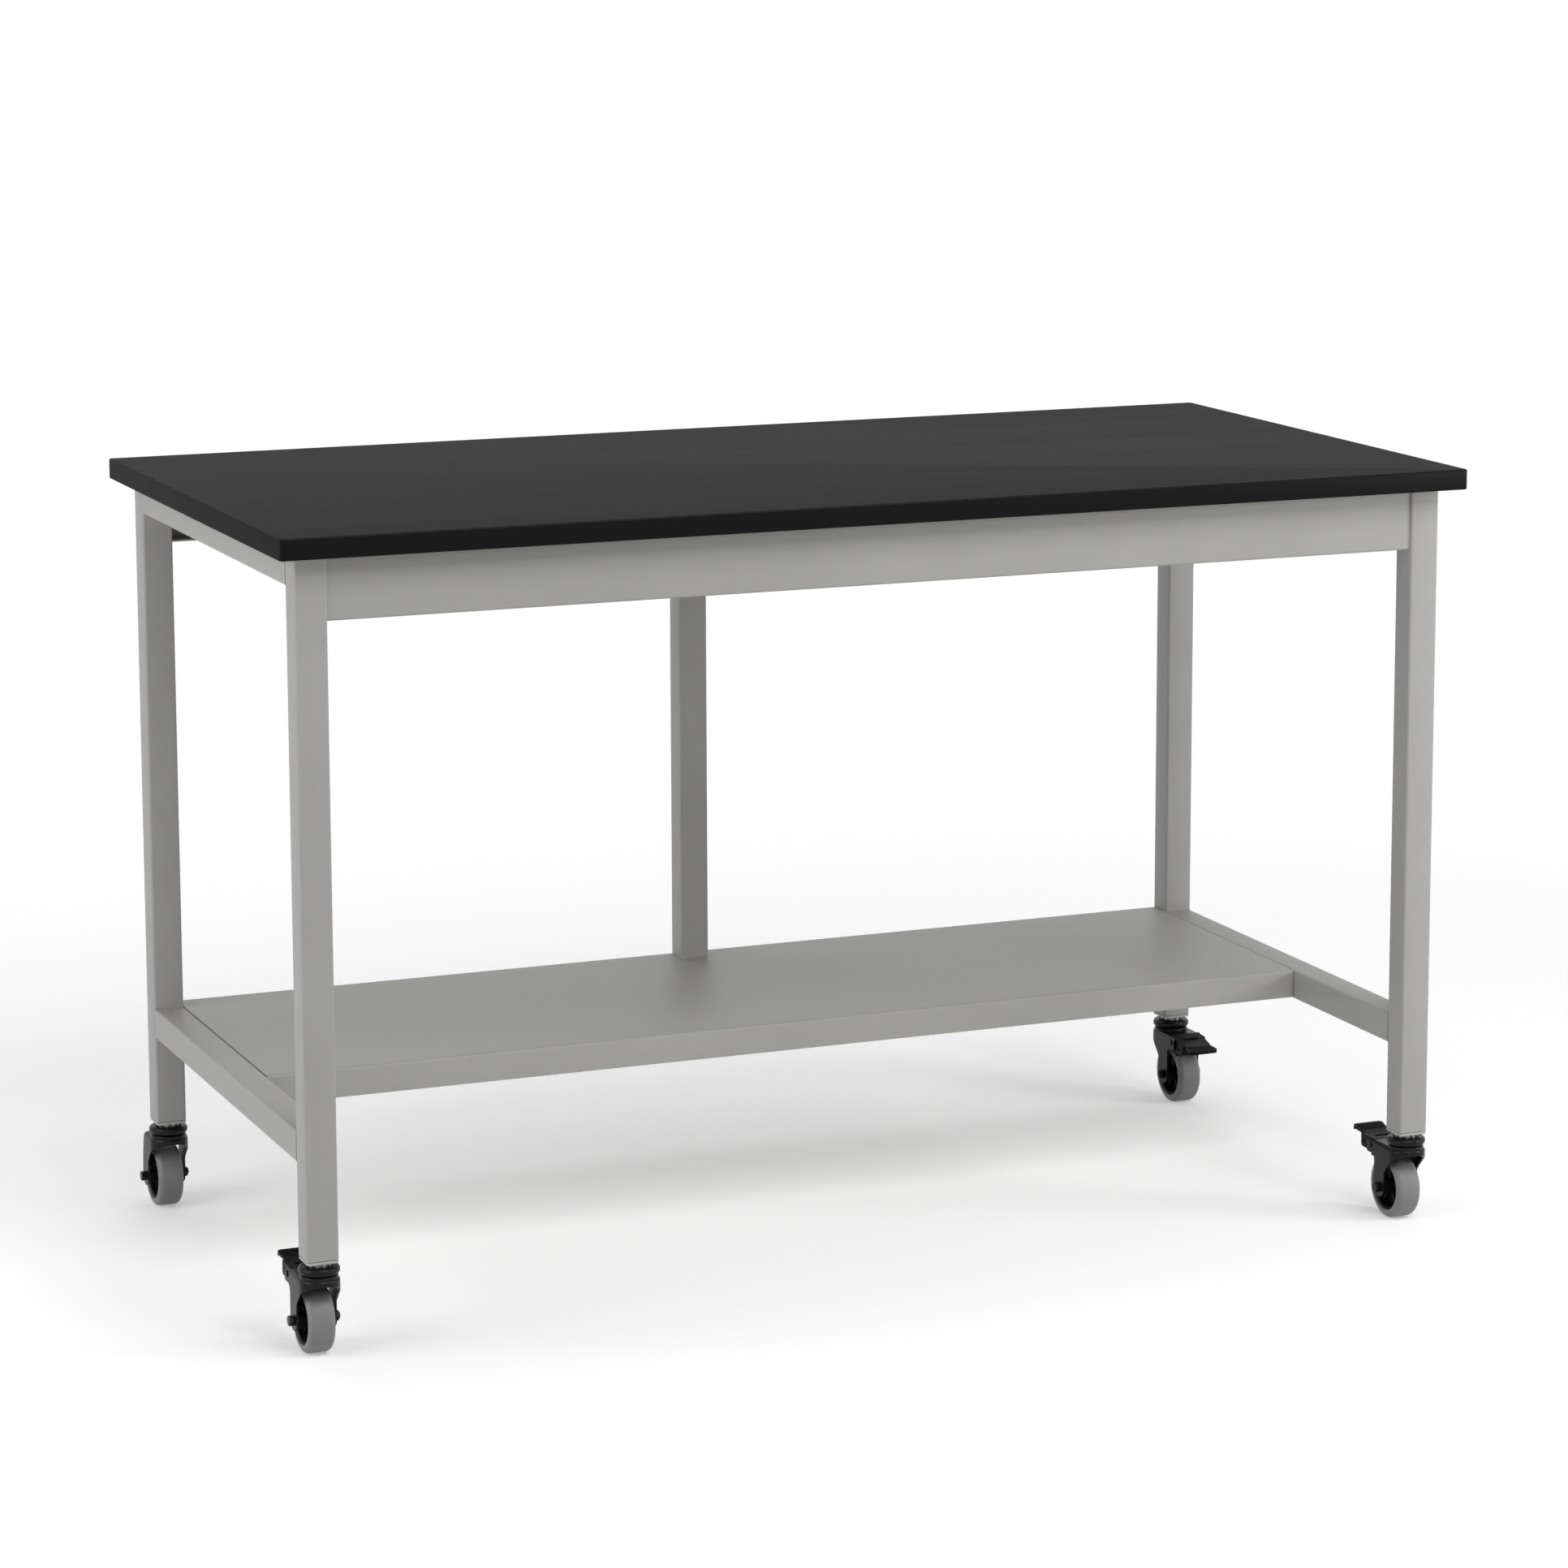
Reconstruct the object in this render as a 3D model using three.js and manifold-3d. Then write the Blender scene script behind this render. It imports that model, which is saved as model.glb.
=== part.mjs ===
// Mobile laboratory bench: a resin worktop on a welded square-tube frame with a half-depth lower shelf,
// rolling on four swivel casters, three of them with a brake pedal.
// Millimetres, +Z up, +X along the bench, +Y to its back.
// The origin is on the floor under the worktop's centre.
import * as THREE from "three";
import { mergeVertices } from "three/addons/utils/BufferGeometryUtils.js";
import Module from "manifold-3d";

const wasm = await Module();
wasm.setup();

// Clearance between pieces that fit into each other
const FIT_GAP = 0.3;

// Worktop
const TOP_LENGTH = 1524;
const TOP_DEPTH = 762;
const TOP_THICKNESS = 25.4;
const TOP_EDGE_ROUND = 2;
const TOP_CORNER_RADIUS = 4;
const END_OVERHANG = 25;
const SIDE_OVERHANG = 28;

// Square tube of the legs, rails and post
const TUBE_SIZE = 38.1;
const TUBE_WALL = 2;
const TUBE_CORNER = 3;
const LEG_LENGTH = 824;
const LOWER_RAIL_RISE = 110.5; // from the leg's foot to the underside of the lower rail

// Folded aprons under the worktop's long edges
const APRON_DEPTH = 76.2;
const APRON_FLANGE = 32;
const APRON_SHEET = 2;
const APRON_SETBACK = 3.5; // behind the legs' outer faces

// Shelf pan between the lower rails
const SHELF_DEPTH = 414;
const SHELF_LIP = 36;
const SHELF_SHEET = 1.5;
const SHELF_FOLD_RADIUS = 3;
const SHELF_RETURN = 12; // turned in under the front and back lips
const SHELF_END_GAP = 0.8;
const SHELF_BACK_SETBACK = 1; // in front of the legs' back faces

// Hat channel under the shelf's deck
const HAT_WIDTH = 50;
const HAT_DEPTH = 22;
const HAT_FLANGE = 16;
const HAT_END_GAP = 20;

// Leg caps that take the casters' stems
const CAP_THICKNESS = 4;
const CAP_SPIGOT = 22;

// Wheel
const WHEEL_RADIUS = 40;
const WHEEL_WIDTH = 32;
const TREAD_DEPTH = 12.5;
const TREAD_SHOULDER = 10;
const HUB_RIM = 3;
const HUB_RIM_INSET = 3; // rim edge behind the tread's side
const HUB_WEB = 5;
const HUB_BOSS_RADIUS = 10;
const HUB_BOSS_LENGTH = 40;
const HUB_RIBS = 5;
const HUB_RIB_THICKNESS = 3;
const HUB_RIB_INSET = 5; // rib edge behind the rim's edge

// Axle
const AXLE_RADIUS = 4;
const BUSH_WALL = 2;
const BOLT_HEAD_RADIUS = 6.5;
const BOLT_HEAD_HEIGHT = 6;
const NUT_RADIUS = 6.5;
const NUT_HEIGHT = 5;
const AXLE_TAIL = 1.5; // bolt end beyond the nut

// Pressed fork
const TRAIL = 25; // axle behind the swivel axis
const FORK_RADIUS = 24.5; // round front, and half the width over the sides
const FORK_SHEET = 2.5;
const FORK_RISE = 58; // crown's top above the axle
const FORK_SHOULDER = 5;
const SKIRT_DROP = 6; // front skirt below the crown's top
const SKIRT_BULGE = 0.72; // how far the skirt's curve runs back before it falls, as a share of its run
const BOSS_RADIUS = 12.5;
const CROWN_END = 40; // crown's back edge behind the swivel axis
const CHEEK_END = 58;
const CHEEK_DEPTH = 18;
const CHEEK_FILLET = 8;
const CHEEK_CORNER = 4;
const PLAIN_CROWN_END = 27; // back edge of the crown where there is no pedal
const DISH_RADIUS = 22.5; // lower race pressed up out of the crown
const DISH_RISE = 3;
const DISH_ROUND = 2;

// Swivel bearing and stem
const RACE_RADIUS = 24.5;
const RACE_HEIGHT = 10;
const RACE_ROUND = 4.5;
const RACE_GAP = 0.6;
const RACE_SEAT_DEPTH = 1.2;
const WASHER_RADIUS = 16.5;
const WASHER_THICKNESS = 6;
const WASHER_TEETH = 12;
const WASHER_NOTCH = 2;
const STEM_RADIUS = 6;
const STEM_REACH = 26; // above the cap's underside
const STEM_HEAD_RADIUS = 9;
const STEM_HEAD_HEIGHT = 4;
const SWIVEL_PLAY = 0.6; // round the stem in the fork's bore

// Brake pedal
const PEDAL_TRAVEL = THREE.MathUtils.degToRad(15);
const PIN_REACH = 49; // behind the swivel axis
const PIN_DROP = 8; // below the crown's top
const PIN_RADIUS = 3;
const PIN_HEAD_RADIUS = 4;
const PIN_HEAD_HEIGHT = 1.2;
const PEDAL_SHEET = 2.5;
const PEDAL_SIDE_GAP = 0.5;
const PEDAL_FRONT_GAP = 2; // behind the crown's back edge
const PEDAL_HEEL = 78;
const PEDAL_LUG_DEPTH = 17;
const PEDAL_LUG_CORNER = 5;
const PEDAL_LUG_HOLE_RADIUS = 2;
const PEDAL_LUG_HOLE_REACH = 70;
const PEDAL_SLOT_LENGTH = 24;
const PEDAL_SLOT_WIDTH = 7;
const PEDAL_SLOT_REACH = 58;
const PLATE_TIP = 103;
const PLATE_LAP = 6; // plate over the heel of the lugs
const PLATE_RISE = THREE.MathUtils.degToRad(5);
const PLATE_THICKNESS = 3.5;
const PLATE_ROOT_WIDTH = 34;
const PLATE_TIP_WIDTH = 42;
const PLATE_CORNER = 5;
const LIP_DEPTH = 6;
const LIP_THICKNESS = 7;
const RIB_COUNT = 4;
const RIB_PITCH = 4;
const RIB_WIDTH = 1.8;
const RIB_HEIGHT = 1;
const SHOE_WIDTH = 36;
const SHOE_LENGTH = 9;
const SHOE_ANGLE = THREE.MathUtils.degToRad(35); // on the tread, back from its top
const SHOE_GAP = 0.5; // left at the tread when the pedal is pressed

// Facets
const WHEEL_FACETS = 24;
const RACE_FACETS = 18;
const SMALL_FACETS = 10;
const HEX = 6;
const MERGE_DISTANCE = 1e-4;
const CUT_MARGIN = 1; // cutting solids run past what they cut

// Heights above the floor, stacked from the wheel to the worktop
const AXLE_Z = WHEEL_RADIUS;
const CROWN_TOP = AXLE_Z + FORK_RISE;
const RACE_BOTTOM = CROWN_TOP + DISH_RISE + RACE_GAP;
const WASHER_BOTTOM = RACE_BOTTOM + RACE_HEIGHT - RACE_SEAT_DEPTH;
const CAP_BOTTOM = WASHER_BOTTOM + WASHER_THICKNESS;
const LEG_FOOT = CAP_BOTTOM + CAP_THICKNESS;
const LEG_TOP = LEG_FOOT + LEG_LENGTH;
const LOWER_RAIL_Z = LEG_FOOT + LOWER_RAIL_RISE + TUBE_SIZE / 2;
const SHELF_TOP = LOWER_RAIL_Z + TUBE_SIZE / 2;
const UPPER_RAIL_Z = LEG_TOP - TUBE_SIZE / 2;

// Leg centres, and the faces that the cross pieces meet
const LEG_X = TOP_LENGTH / 2 - END_OVERHANG - TUBE_SIZE / 2;
const LEG_Y = TOP_DEPTH / 2 - SIDE_OVERHANG - TUBE_SIZE / 2;
const CLEAR_LENGTH = 2 * LEG_X - TUBE_SIZE;
const CLEAR_DEPTH = 2 * LEG_Y - TUBE_SIZE;
const FRAME_FACE_Y = LEG_Y + TUBE_SIZE / 2;
const SHELF_Y = FRAME_FACE_Y - SHELF_BACK_SETBACK - SHELF_DEPTH / 2;

// Fork and axle widths
const FORK_INSIDE = FORK_RADIUS - FORK_SHEET;
const BUSH_RADIUS = AXLE_RADIUS + FIT_GAP + BUSH_WALL;
const PIN_Z = CROWN_TOP - PIN_DROP;

// Colours and surfaces of the pieces
const RESIN = { color: 0x2e2e2e, roughness: 0.55, metalness: 0 };
const POWDER_COAT = { color: 0xa0a09b, roughness: 0.6, metalness: 0.1 };
const CAP_GREY = { color: 0xb4b4ae, roughness: 0.6, metalness: 0 };
const ZINC = { color: 0xb8bab8, roughness: 0.35, metalness: 0.9 };
const BLACK_STEEL = { color: 0x2c2c2c, roughness: 0.45, metalness: 0.4 };
const BLACK_PLASTIC = { color: 0x161616, roughness: 0.5, metalness: 0 };
const GREY_RUBBER = { color: 0x747474, roughness: 0.65, metalness: 0 };

// Solids: joining and cutting of closed geometries

function toSolid(geometry) {
  const bare = new THREE.BufferGeometry();
  bare.setAttribute("position", geometry.getAttribute("position"));
  bare.setIndex(geometry.index);
  const merged = mergeVertices(bare, MERGE_DISTANCE);
  return new wasm.Manifold(
    new wasm.Mesh({
      numProp: 3,
      vertProperties: new Float32Array(merged.attributes.position.array),
      triVerts: new Uint32Array(merged.index.array),
    }),
  );
}

function toGeometry(solid) {
  const { vertProperties, triVerts } = solid.getMesh();
  const geometry = new THREE.BufferGeometry();
  geometry.setAttribute("position", new THREE.BufferAttribute(vertProperties, 3));
  geometry.setIndex(new THREE.BufferAttribute(triVerts, 1));
  geometry.computeVertexNormals();
  return geometry;
}

function cut(geometry, ...tools) {
  return toGeometry(tools.reduce((body, tool) => body.subtract(toSolid(tool)), toSolid(geometry)));
}

function join(geometry, ...others) {
  return toGeometry(others.reduce((body, other) => body.add(toSolid(other)), toSolid(geometry)));
}

function common(geometry, other) {
  return toGeometry(toSolid(geometry).intersect(toSolid(other)));
}

// Profiles and the ways they are run

function roundedRectangle(width, height, radius) {
  const x = width / 2 - radius;
  const y = height / 2 - radius;
  const shape = new THREE.Shape();
  shape.absarc(x, y, radius, 0, Math.PI / 2, false);
  shape.absarc(-x, y, radius, Math.PI / 2, Math.PI, false);
  shape.absarc(-x, -y, radius, Math.PI, 1.5 * Math.PI, false);
  shape.absarc(x, -y, radius, 1.5 * Math.PI, 2 * Math.PI, false);
  return shape;
}

function polygon(...corners) {
  return new THREE.Shape(corners.map(([x, y]) => new THREE.Vector2(x, y)));
}

function alongZ(profile, height, curveSegments = 1) {
  return new THREE.ExtrudeGeometry(profile, { depth: height, bevelEnabled: false, curveSegments });
}

// A profile drawn in X and Z, run along Y and centred on it
function alongY(profile, length, curveSegments = 1) {
  return alongZ(profile, length, curveSegments)
    .rotateX(Math.PI / 2)
    .translate(0, length / 2, 0);
}

// A profile drawn in Y and Z, run along X and centred on it
function alongX(profile, length, curveSegments = 1) {
  return alongZ(profile, length, curveSegments)
    .rotateX(Math.PI / 2)
    .rotateZ(Math.PI / 2)
    .translate(-length / 2, 0, 0);
}

// A prism whose top and bottom edges are rounded inside its outline
function roundedPrism(profile, height, round, curveSegments, roundSegments) {
  return new THREE.ExtrudeGeometry(profile, {
    depth: height - 2 * round,
    bevelEnabled: true,
    bevelThickness: round,
    bevelSize: round,
    bevelOffset: -round,
    bevelSegments: roundSegments,
    curveSegments,
  }).translate(0, 0, round);
}

// Points of a quarter round about a centre, for turned profiles
function quarterRound(centreR, centreZ, radius, startAngle, steps) {
  return Array.from({ length: steps + 1 }, (_, i) => {
    const angle = startAngle + ((Math.PI / 2) * i) / steps;
    return [centreR + radius * Math.cos(angle), centreZ + radius * Math.sin(angle)];
  });
}

// A profile of [radius, height] points, anticlockwise, turned about an axis with a facet square at the bottom
function turned(profile, facets) {
  const points = profile.map(([r, h]) => new THREE.Vector2(r, h));
  return new THREE.LatheGeometry(points, facets, Math.PI / facets);
}

const turnedZ = (profile, facets) => turned(profile, facets).rotateX(Math.PI / 2);
const turnedX = (profile, facets) => turned(profile, facets).rotateZ(-Math.PI / 2);

// A plain cylinder from one height to another
function rodProfile(radius, low, high) {
  return [
    [0, low],
    [radius, low],
    [radius, high],
    [0, high],
  ];
}

// A ring from one height to another
function ringProfile(bore, radius, low, high) {
  return [
    [bore, low],
    [radius, low],
    [radius, high],
    [bore, high],
    [bore, low],
  ];
}

function piece(name, geometry, finish) {
  const mesh = new THREE.Mesh(geometry, new THREE.MeshStandardMaterial(finish));
  mesh.name = name;
  return mesh;
}

// Frame pieces

function worktopGeometry() {
  const outline = roundedRectangle(TOP_LENGTH, TOP_DEPTH, TOP_CORNER_RADIUS);
  return roundedPrism(outline, TOP_THICKNESS, TOP_EDGE_ROUND, 1, 2).translate(0, 0, LEG_TOP);
}

function tubeSection() {
  const section = roundedRectangle(TUBE_SIZE, TUBE_SIZE, TUBE_CORNER);
  const bore = TUBE_SIZE - 2 * TUBE_WALL;
  section.holes.push(roundedRectangle(bore, bore, Math.max(TUBE_CORNER - TUBE_WALL, TUBE_WALL / 4)));
  return section;
}

// A channel with its back to -Y and its two flanges running to +Y
function apronGeometry() {
  const section = polygon(
    [0, 0],
    [APRON_FLANGE, 0],
    [APRON_FLANGE, APRON_SHEET],
    [APRON_SHEET, APRON_SHEET],
    [APRON_SHEET, APRON_DEPTH - APRON_SHEET],
    [APRON_FLANGE, APRON_DEPTH - APRON_SHEET],
    [APRON_FLANGE, APRON_DEPTH],
    [0, APRON_DEPTH],
  );
  return alongX(section, CLEAR_LENGTH).translate(0, APRON_SETBACK - FRAME_FACE_Y, LEG_TOP - APRON_DEPTH);
}

// The shelf seen from its end, down to a given level, with rounded folds along the front and back
function shelfSection(inset, bottom) {
  const front = -SHELF_DEPTH / 2 + inset;
  const back = SHELF_DEPTH / 2 - inset;
  const radius = SHELF_FOLD_RADIUS - Math.min(inset, SHELF_FOLD_RADIUS / 2);
  const shape = new THREE.Shape();
  shape.moveTo(front, bottom);
  shape.lineTo(back, bottom);
  shape.absarc(back - radius, -inset - radius, radius, 0, Math.PI / 2, false);
  shape.absarc(front + radius, -inset - radius, radius, Math.PI / 2, Math.PI, false);
  return shape;
}

// A pan open below, its front and back lips turned in at the bottom
function shelfGeometry() {
  const length = CLEAR_LENGTH - 2 * SHELF_END_GAP;
  const insideLength = length - 2 * SHELF_SHEET;
  const mouthDepth = SHELF_DEPTH - 2 * (SHELF_SHEET + SHELF_RETURN);
  const hollow = alongX(shelfSection(SHELF_SHEET, SHELF_SHEET - SHELF_LIP), insideLength);
  const mouth = new THREE.BoxGeometry(insideLength, mouthDepth, 4 * SHELF_SHEET).translate(0, 0, -SHELF_LIP);
  const pan = cut(alongX(shelfSection(0, -SHELF_LIP), length), hollow, mouth);
  return pan.translate(0, SHELF_Y, SHELF_TOP);
}

function stiffenerGeometry() {
  const half = HAT_WIDTH / 2;
  const bottom = -HAT_DEPTH;
  const section = polygon(
    [-half - HAT_FLANGE, 0],
    [-half - HAT_FLANGE, -SHELF_SHEET],
    [-half, -SHELF_SHEET],
    [-half, bottom],
    [half, bottom],
    [half, -SHELF_SHEET],
    [half + HAT_FLANGE, -SHELF_SHEET],
    [half + HAT_FLANGE, 0],
    [half - SHELF_SHEET, 0],
    [half - SHELF_SHEET, bottom + SHELF_SHEET],
    [-half + SHELF_SHEET, bottom + SHELF_SHEET],
    [-half + SHELF_SHEET, 0],
  );
  const length = CLEAR_LENGTH - 2 * (SHELF_END_GAP + SHELF_SHEET + HAT_END_GAP);
  return alongX(section, length).translate(0, SHELF_Y, SHELF_TOP - SHELF_SHEET);
}

function capGeometry() {
  const spigotSize = TUBE_SIZE - 2 * (TUBE_WALL + FIT_GAP);
  const plate = alongZ(roundedRectangle(TUBE_SIZE, TUBE_SIZE, TUBE_CORNER), CAP_THICKNESS);
  const spigot = alongZ(roundedRectangle(spigotSize, spigotSize, TUBE_CORNER), CAP_THICKNESS + CAP_SPIGOT);
  const bore = turnedZ(
    rodProfile(STEM_RADIUS + FIT_GAP, -CUT_MARGIN, CAP_THICKNESS + CAP_SPIGOT + CUT_MARGIN),
    SMALL_FACETS,
  );
  return cut(join(plate, spigot), bore).translate(0, 0, CAP_BOTTOM);
}

// Caster pieces, with the swivel axis on Z and the wheel trailing to +Y

function stemGeometry() {
  const headTop = CROWN_TOP - FORK_SHEET - FIT_GAP;
  return turnedZ(
    [
      [0, headTop - STEM_HEAD_HEIGHT],
      [STEM_HEAD_RADIUS, headTop - STEM_HEAD_HEIGHT],
      [STEM_HEAD_RADIUS, headTop],
      [STEM_RADIUS, headTop],
      [STEM_RADIUS, CAP_BOTTOM + STEM_REACH],
      [0, CAP_BOTTOM + STEM_REACH],
    ],
    SMALL_FACETS,
  );
}

// A washer whose rim is notched into teeth
function washerGeometry() {
  const rim = new THREE.Shape();
  const step = (2 * Math.PI) / WASHER_TEETH;
  for (let tooth = 0; tooth < WASHER_TEETH; tooth += 1) {
    for (const [share, radius] of [
      [0, WASHER_RADIUS],
      [0.5, WASHER_RADIUS],
      [0.6, WASHER_RADIUS - WASHER_NOTCH],
      [0.9, WASHER_RADIUS - WASHER_NOTCH],
    ]) {
      const angle = (tooth + share) * step;
      const corner = [radius * Math.cos(angle), radius * Math.sin(angle)];
      if (tooth + share === 0) rim.moveTo(...corner);
      else rim.lineTo(...corner);
    }
  }
  rim.holes.push(new THREE.Path().absarc(0, 0, STEM_RADIUS + FIT_GAP, 0, 2 * Math.PI));
  return alongZ(rim, WASHER_THICKNESS, SMALL_FACETS / 2).translate(0, 0, WASHER_BOTTOM);
}

function raceGeometry() {
  const bore = STEM_RADIUS + FIT_GAP;
  const middle = RACE_RADIUS - RACE_ROUND;
  const crest = RACE_BOTTOM + RACE_HEIGHT;
  return turnedZ(
    [
      [bore, RACE_BOTTOM],
      ...quarterRound(middle, RACE_BOTTOM + RACE_ROUND, RACE_ROUND, -Math.PI / 2, 2),
      ...quarterRound(middle, crest - RACE_ROUND, RACE_ROUND, 0, 2),
      [WASHER_RADIUS + FIT_GAP, WASHER_BOTTOM],
      [bore, WASHER_BOTTOM],
      [bore, RACE_BOTTOM],
    ],
    RACE_FACETS,
  );
}

// The fork's plan outline: a round front and straight sides that run back
function forkPlan(radius, back) {
  const plan = new THREE.Shape();
  plan.moveTo(radius, back);
  plan.lineTo(-radius, back);
  plan.absarc(0, 0, radius, Math.PI, 2 * Math.PI, false);
  return plan;
}

// The fork seen from the side: skirt, legs round the axle, and cheeks that carry the pedal where there is one
function forkSide(braked) {
  const front = -FORK_RADIUS - CUT_MARGIN;
  const top = CROWN_TOP + CUT_MARGIN;
  const skirt = CROWN_TOP - SKIRT_DROP;
  const bossFront = TRAIL - BOSS_RADIUS;
  const bossBack = TRAIL + BOSS_RADIUS;
  const side = new THREE.Shape();
  side.moveTo(front, top);
  side.lineTo(front, skirt);
  side.quadraticCurveTo(front + SKIRT_BULGE * (bossFront - front), skirt, bossFront, AXLE_Z);
  side.absarc(TRAIL, AXLE_Z, BOSS_RADIUS, Math.PI, 2 * Math.PI, false);
  if (braked) {
    const bottom = CROWN_TOP - CHEEK_DEPTH;
    side.absarc(bossBack + CHEEK_FILLET, bottom - CHEEK_FILLET, CHEEK_FILLET, Math.PI, Math.PI / 2, true);
    side.absarc(CHEEK_END - CHEEK_CORNER, bottom + CHEEK_CORNER, CHEEK_CORNER, -Math.PI / 2, 0, false);
    side.lineTo(CHEEK_END, top);
  } else {
    side.quadraticCurveTo(bossBack, CROWN_TOP - CHEEK_DEPTH, PLAIN_CROWN_END, top);
  }
  return side;
}

// A clearance hole right across the fork for a rod of some radius
function crossHole(radius) {
  return turnedX(rodProfile(radius + FIT_GAP, -2 * FORK_RADIUS, 2 * FORK_RADIUS), SMALL_FACETS);
}

function forkGeometry(braked) {
  const back = CHEEK_END + 2 * FORK_SHOULDER;
  const height = CROWN_TOP + FORK_SHOULDER;
  const outer = roundedPrism(forkPlan(FORK_RADIUS, back), height, FORK_SHOULDER, 4, 2);
  const inner = roundedPrism(
    forkPlan(FORK_INSIDE, back + FORK_SHOULDER),
    height,
    Math.max(FORK_SHOULDER - FORK_SHEET, FORK_SHEET / 4),
    4,
    1,
  ).translate(0, 0, -FORK_SHOULDER - FORK_SHEET);
  const pressing = cut(outer.translate(0, 0, -FORK_SHOULDER), inner);
  const shell = common(pressing, alongX(forkSide(braked), 4 * FORK_RADIUS, 4));
  const dish = turnedZ(
    [
      [0, CROWN_TOP - FORK_SHEET / 2],
      [DISH_RADIUS, CROWN_TOP - FORK_SHEET / 2],
      ...quarterRound(DISH_RADIUS - DISH_ROUND, CROWN_TOP + DISH_RISE - DISH_ROUND, DISH_ROUND, 0, 2),
      [0, CROWN_TOP + DISH_RISE],
    ],
    RACE_FACETS,
  );
  const bore = turnedZ(
    rodProfile(STEM_RADIUS + SWIVEL_PLAY, CROWN_TOP - 2 * FORK_SHEET, RACE_BOTTOM + CUT_MARGIN),
    SMALL_FACETS,
  );
  const tools = [bore, crossHole(AXLE_RADIUS).translate(0, TRAIL, AXLE_Z)];
  if (braked) {
    const roofWindow = new THREE.BoxGeometry(2 * FORK_INSIDE, back, 2 * FORK_SHOULDER);
    tools.push(roofWindow.translate(0, CROWN_END + back / 2, CROWN_TOP));
    tools.push(crossHole(PIN_RADIUS).translate(0, PIN_REACH, PIN_Z));
  }
  return cut(join(shell, dish), ...tools);
}

function hexagon(radius, low, high) {
  return turnedX(rodProfile(radius, low, high), HEX);
}

function boltGeometry() {
  const seat = FORK_RADIUS + FIT_GAP;
  const tail = seat + NUT_HEIGHT + AXLE_TAIL;
  const shank = turnedX(rodProfile(AXLE_RADIUS, -seat - BOLT_HEAD_HEIGHT / 2, tail), SMALL_FACETS);
  return join(hexagon(BOLT_HEAD_RADIUS, -seat - BOLT_HEAD_HEIGHT, -seat), shank).translate(0, TRAIL, AXLE_Z);
}

function nutGeometry() {
  const seat = FORK_RADIUS + FIT_GAP;
  const bore = turnedX(
    rodProfile(AXLE_RADIUS + FIT_GAP, seat - CUT_MARGIN, seat + NUT_HEIGHT + CUT_MARGIN),
    SMALL_FACETS,
  );
  return cut(hexagon(NUT_RADIUS, seat, seat + NUT_HEIGHT), bore).translate(0, TRAIL, AXLE_Z);
}

function bushGeometry() {
  const half = FORK_INSIDE - FIT_GAP;
  const ring = ringProfile(AXLE_RADIUS + FIT_GAP, BUSH_RADIUS, -half, half);
  return turnedX(ring, SMALL_FACETS).translate(0, TRAIL, AXLE_Z);
}

// A wheel's radius at the facets' corners, so that a facet lies flat on the floor
const facetCorner = (radius) => radius / Math.cos(Math.PI / WHEEL_FACETS);

function treadGeometry() {
  const half = WHEEL_WIDTH / 2;
  const bore = WHEEL_RADIUS - TREAD_DEPTH;
  const shoulder = WHEEL_RADIUS - TREAD_SHOULDER;
  const profile = [
    [bore, -half],
    ...quarterRound(shoulder, -half + TREAD_SHOULDER, TREAD_SHOULDER, -Math.PI / 2, 3),
    ...quarterRound(shoulder, half - TREAD_SHOULDER, TREAD_SHOULDER, 0, 3),
    [bore, half],
    [bore, -half],
  ];
  return turnedX(
    profile.map(([r, x]) => [facetCorner(r), x]),
    WHEEL_FACETS,
  ).translate(0, TRAIL, AXLE_Z);
}

// A moulded hub: rim, web and boss, stiffened by ribs on both sides of the web
function hubGeometry() {
  const rimOuter = facetCorner(WHEEL_RADIUS - TREAD_DEPTH - FIT_GAP);
  const rimInner = rimOuter - HUB_RIM;
  const rimHalf = WHEEL_WIDTH / 2 - HUB_RIM_INSET;
  const bore = BUSH_RADIUS + FIT_GAP;
  const webHalf = HUB_WEB / 2;
  const bossHalf = HUB_BOSS_LENGTH / 2;
  const body = turnedX(
    [
      [bore, -bossHalf],
      [HUB_BOSS_RADIUS, -bossHalf],
      [HUB_BOSS_RADIUS, -webHalf],
      [rimInner, -webHalf],
      [rimInner, -rimHalf],
      [rimOuter, -rimHalf],
      [rimOuter, rimHalf],
      [rimInner, rimHalf],
      [rimInner, webHalf],
      [HUB_BOSS_RADIUS, webHalf],
      [HUB_BOSS_RADIUS, bossHalf],
      [bore, bossHalf],
      [bore, -bossHalf],
    ],
    WHEEL_FACETS,
  );
  const ribStart = (bore + HUB_BOSS_RADIUS) / 2;
  const ribEnd = (rimInner + rimOuter) / 2;
  const ribs = Array.from({ length: HUB_RIBS }, (_, i) =>
    new THREE.BoxGeometry(2 * (rimHalf - HUB_RIB_INSET), HUB_RIB_THICKNESS, ribEnd - ribStart)
      .translate(0, 0, (ribStart + ribEnd) / 2)
      .rotateX((2 * Math.PI * i) / HUB_RIBS),
  );
  return join(body, ...ribs).translate(0, TRAIL, AXLE_Z);
}

function pinGeometry() {
  const seat = FORK_RADIUS + FIT_GAP;
  return turnedX(
    [
      [0, -seat - PIN_HEAD_HEIGHT],
      [PIN_HEAD_RADIUS, -seat - PIN_HEAD_HEIGHT],
      [PIN_HEAD_RADIUS, -seat],
      [PIN_RADIUS, -seat],
      [PIN_RADIUS, seat],
      [PIN_HEAD_RADIUS, seat],
      [PIN_HEAD_RADIUS, seat + PIN_HEAD_HEIGHT],
      [0, seat + PIN_HEAD_HEIGHT],
    ],
    SMALL_FACETS,
  );
}

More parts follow.
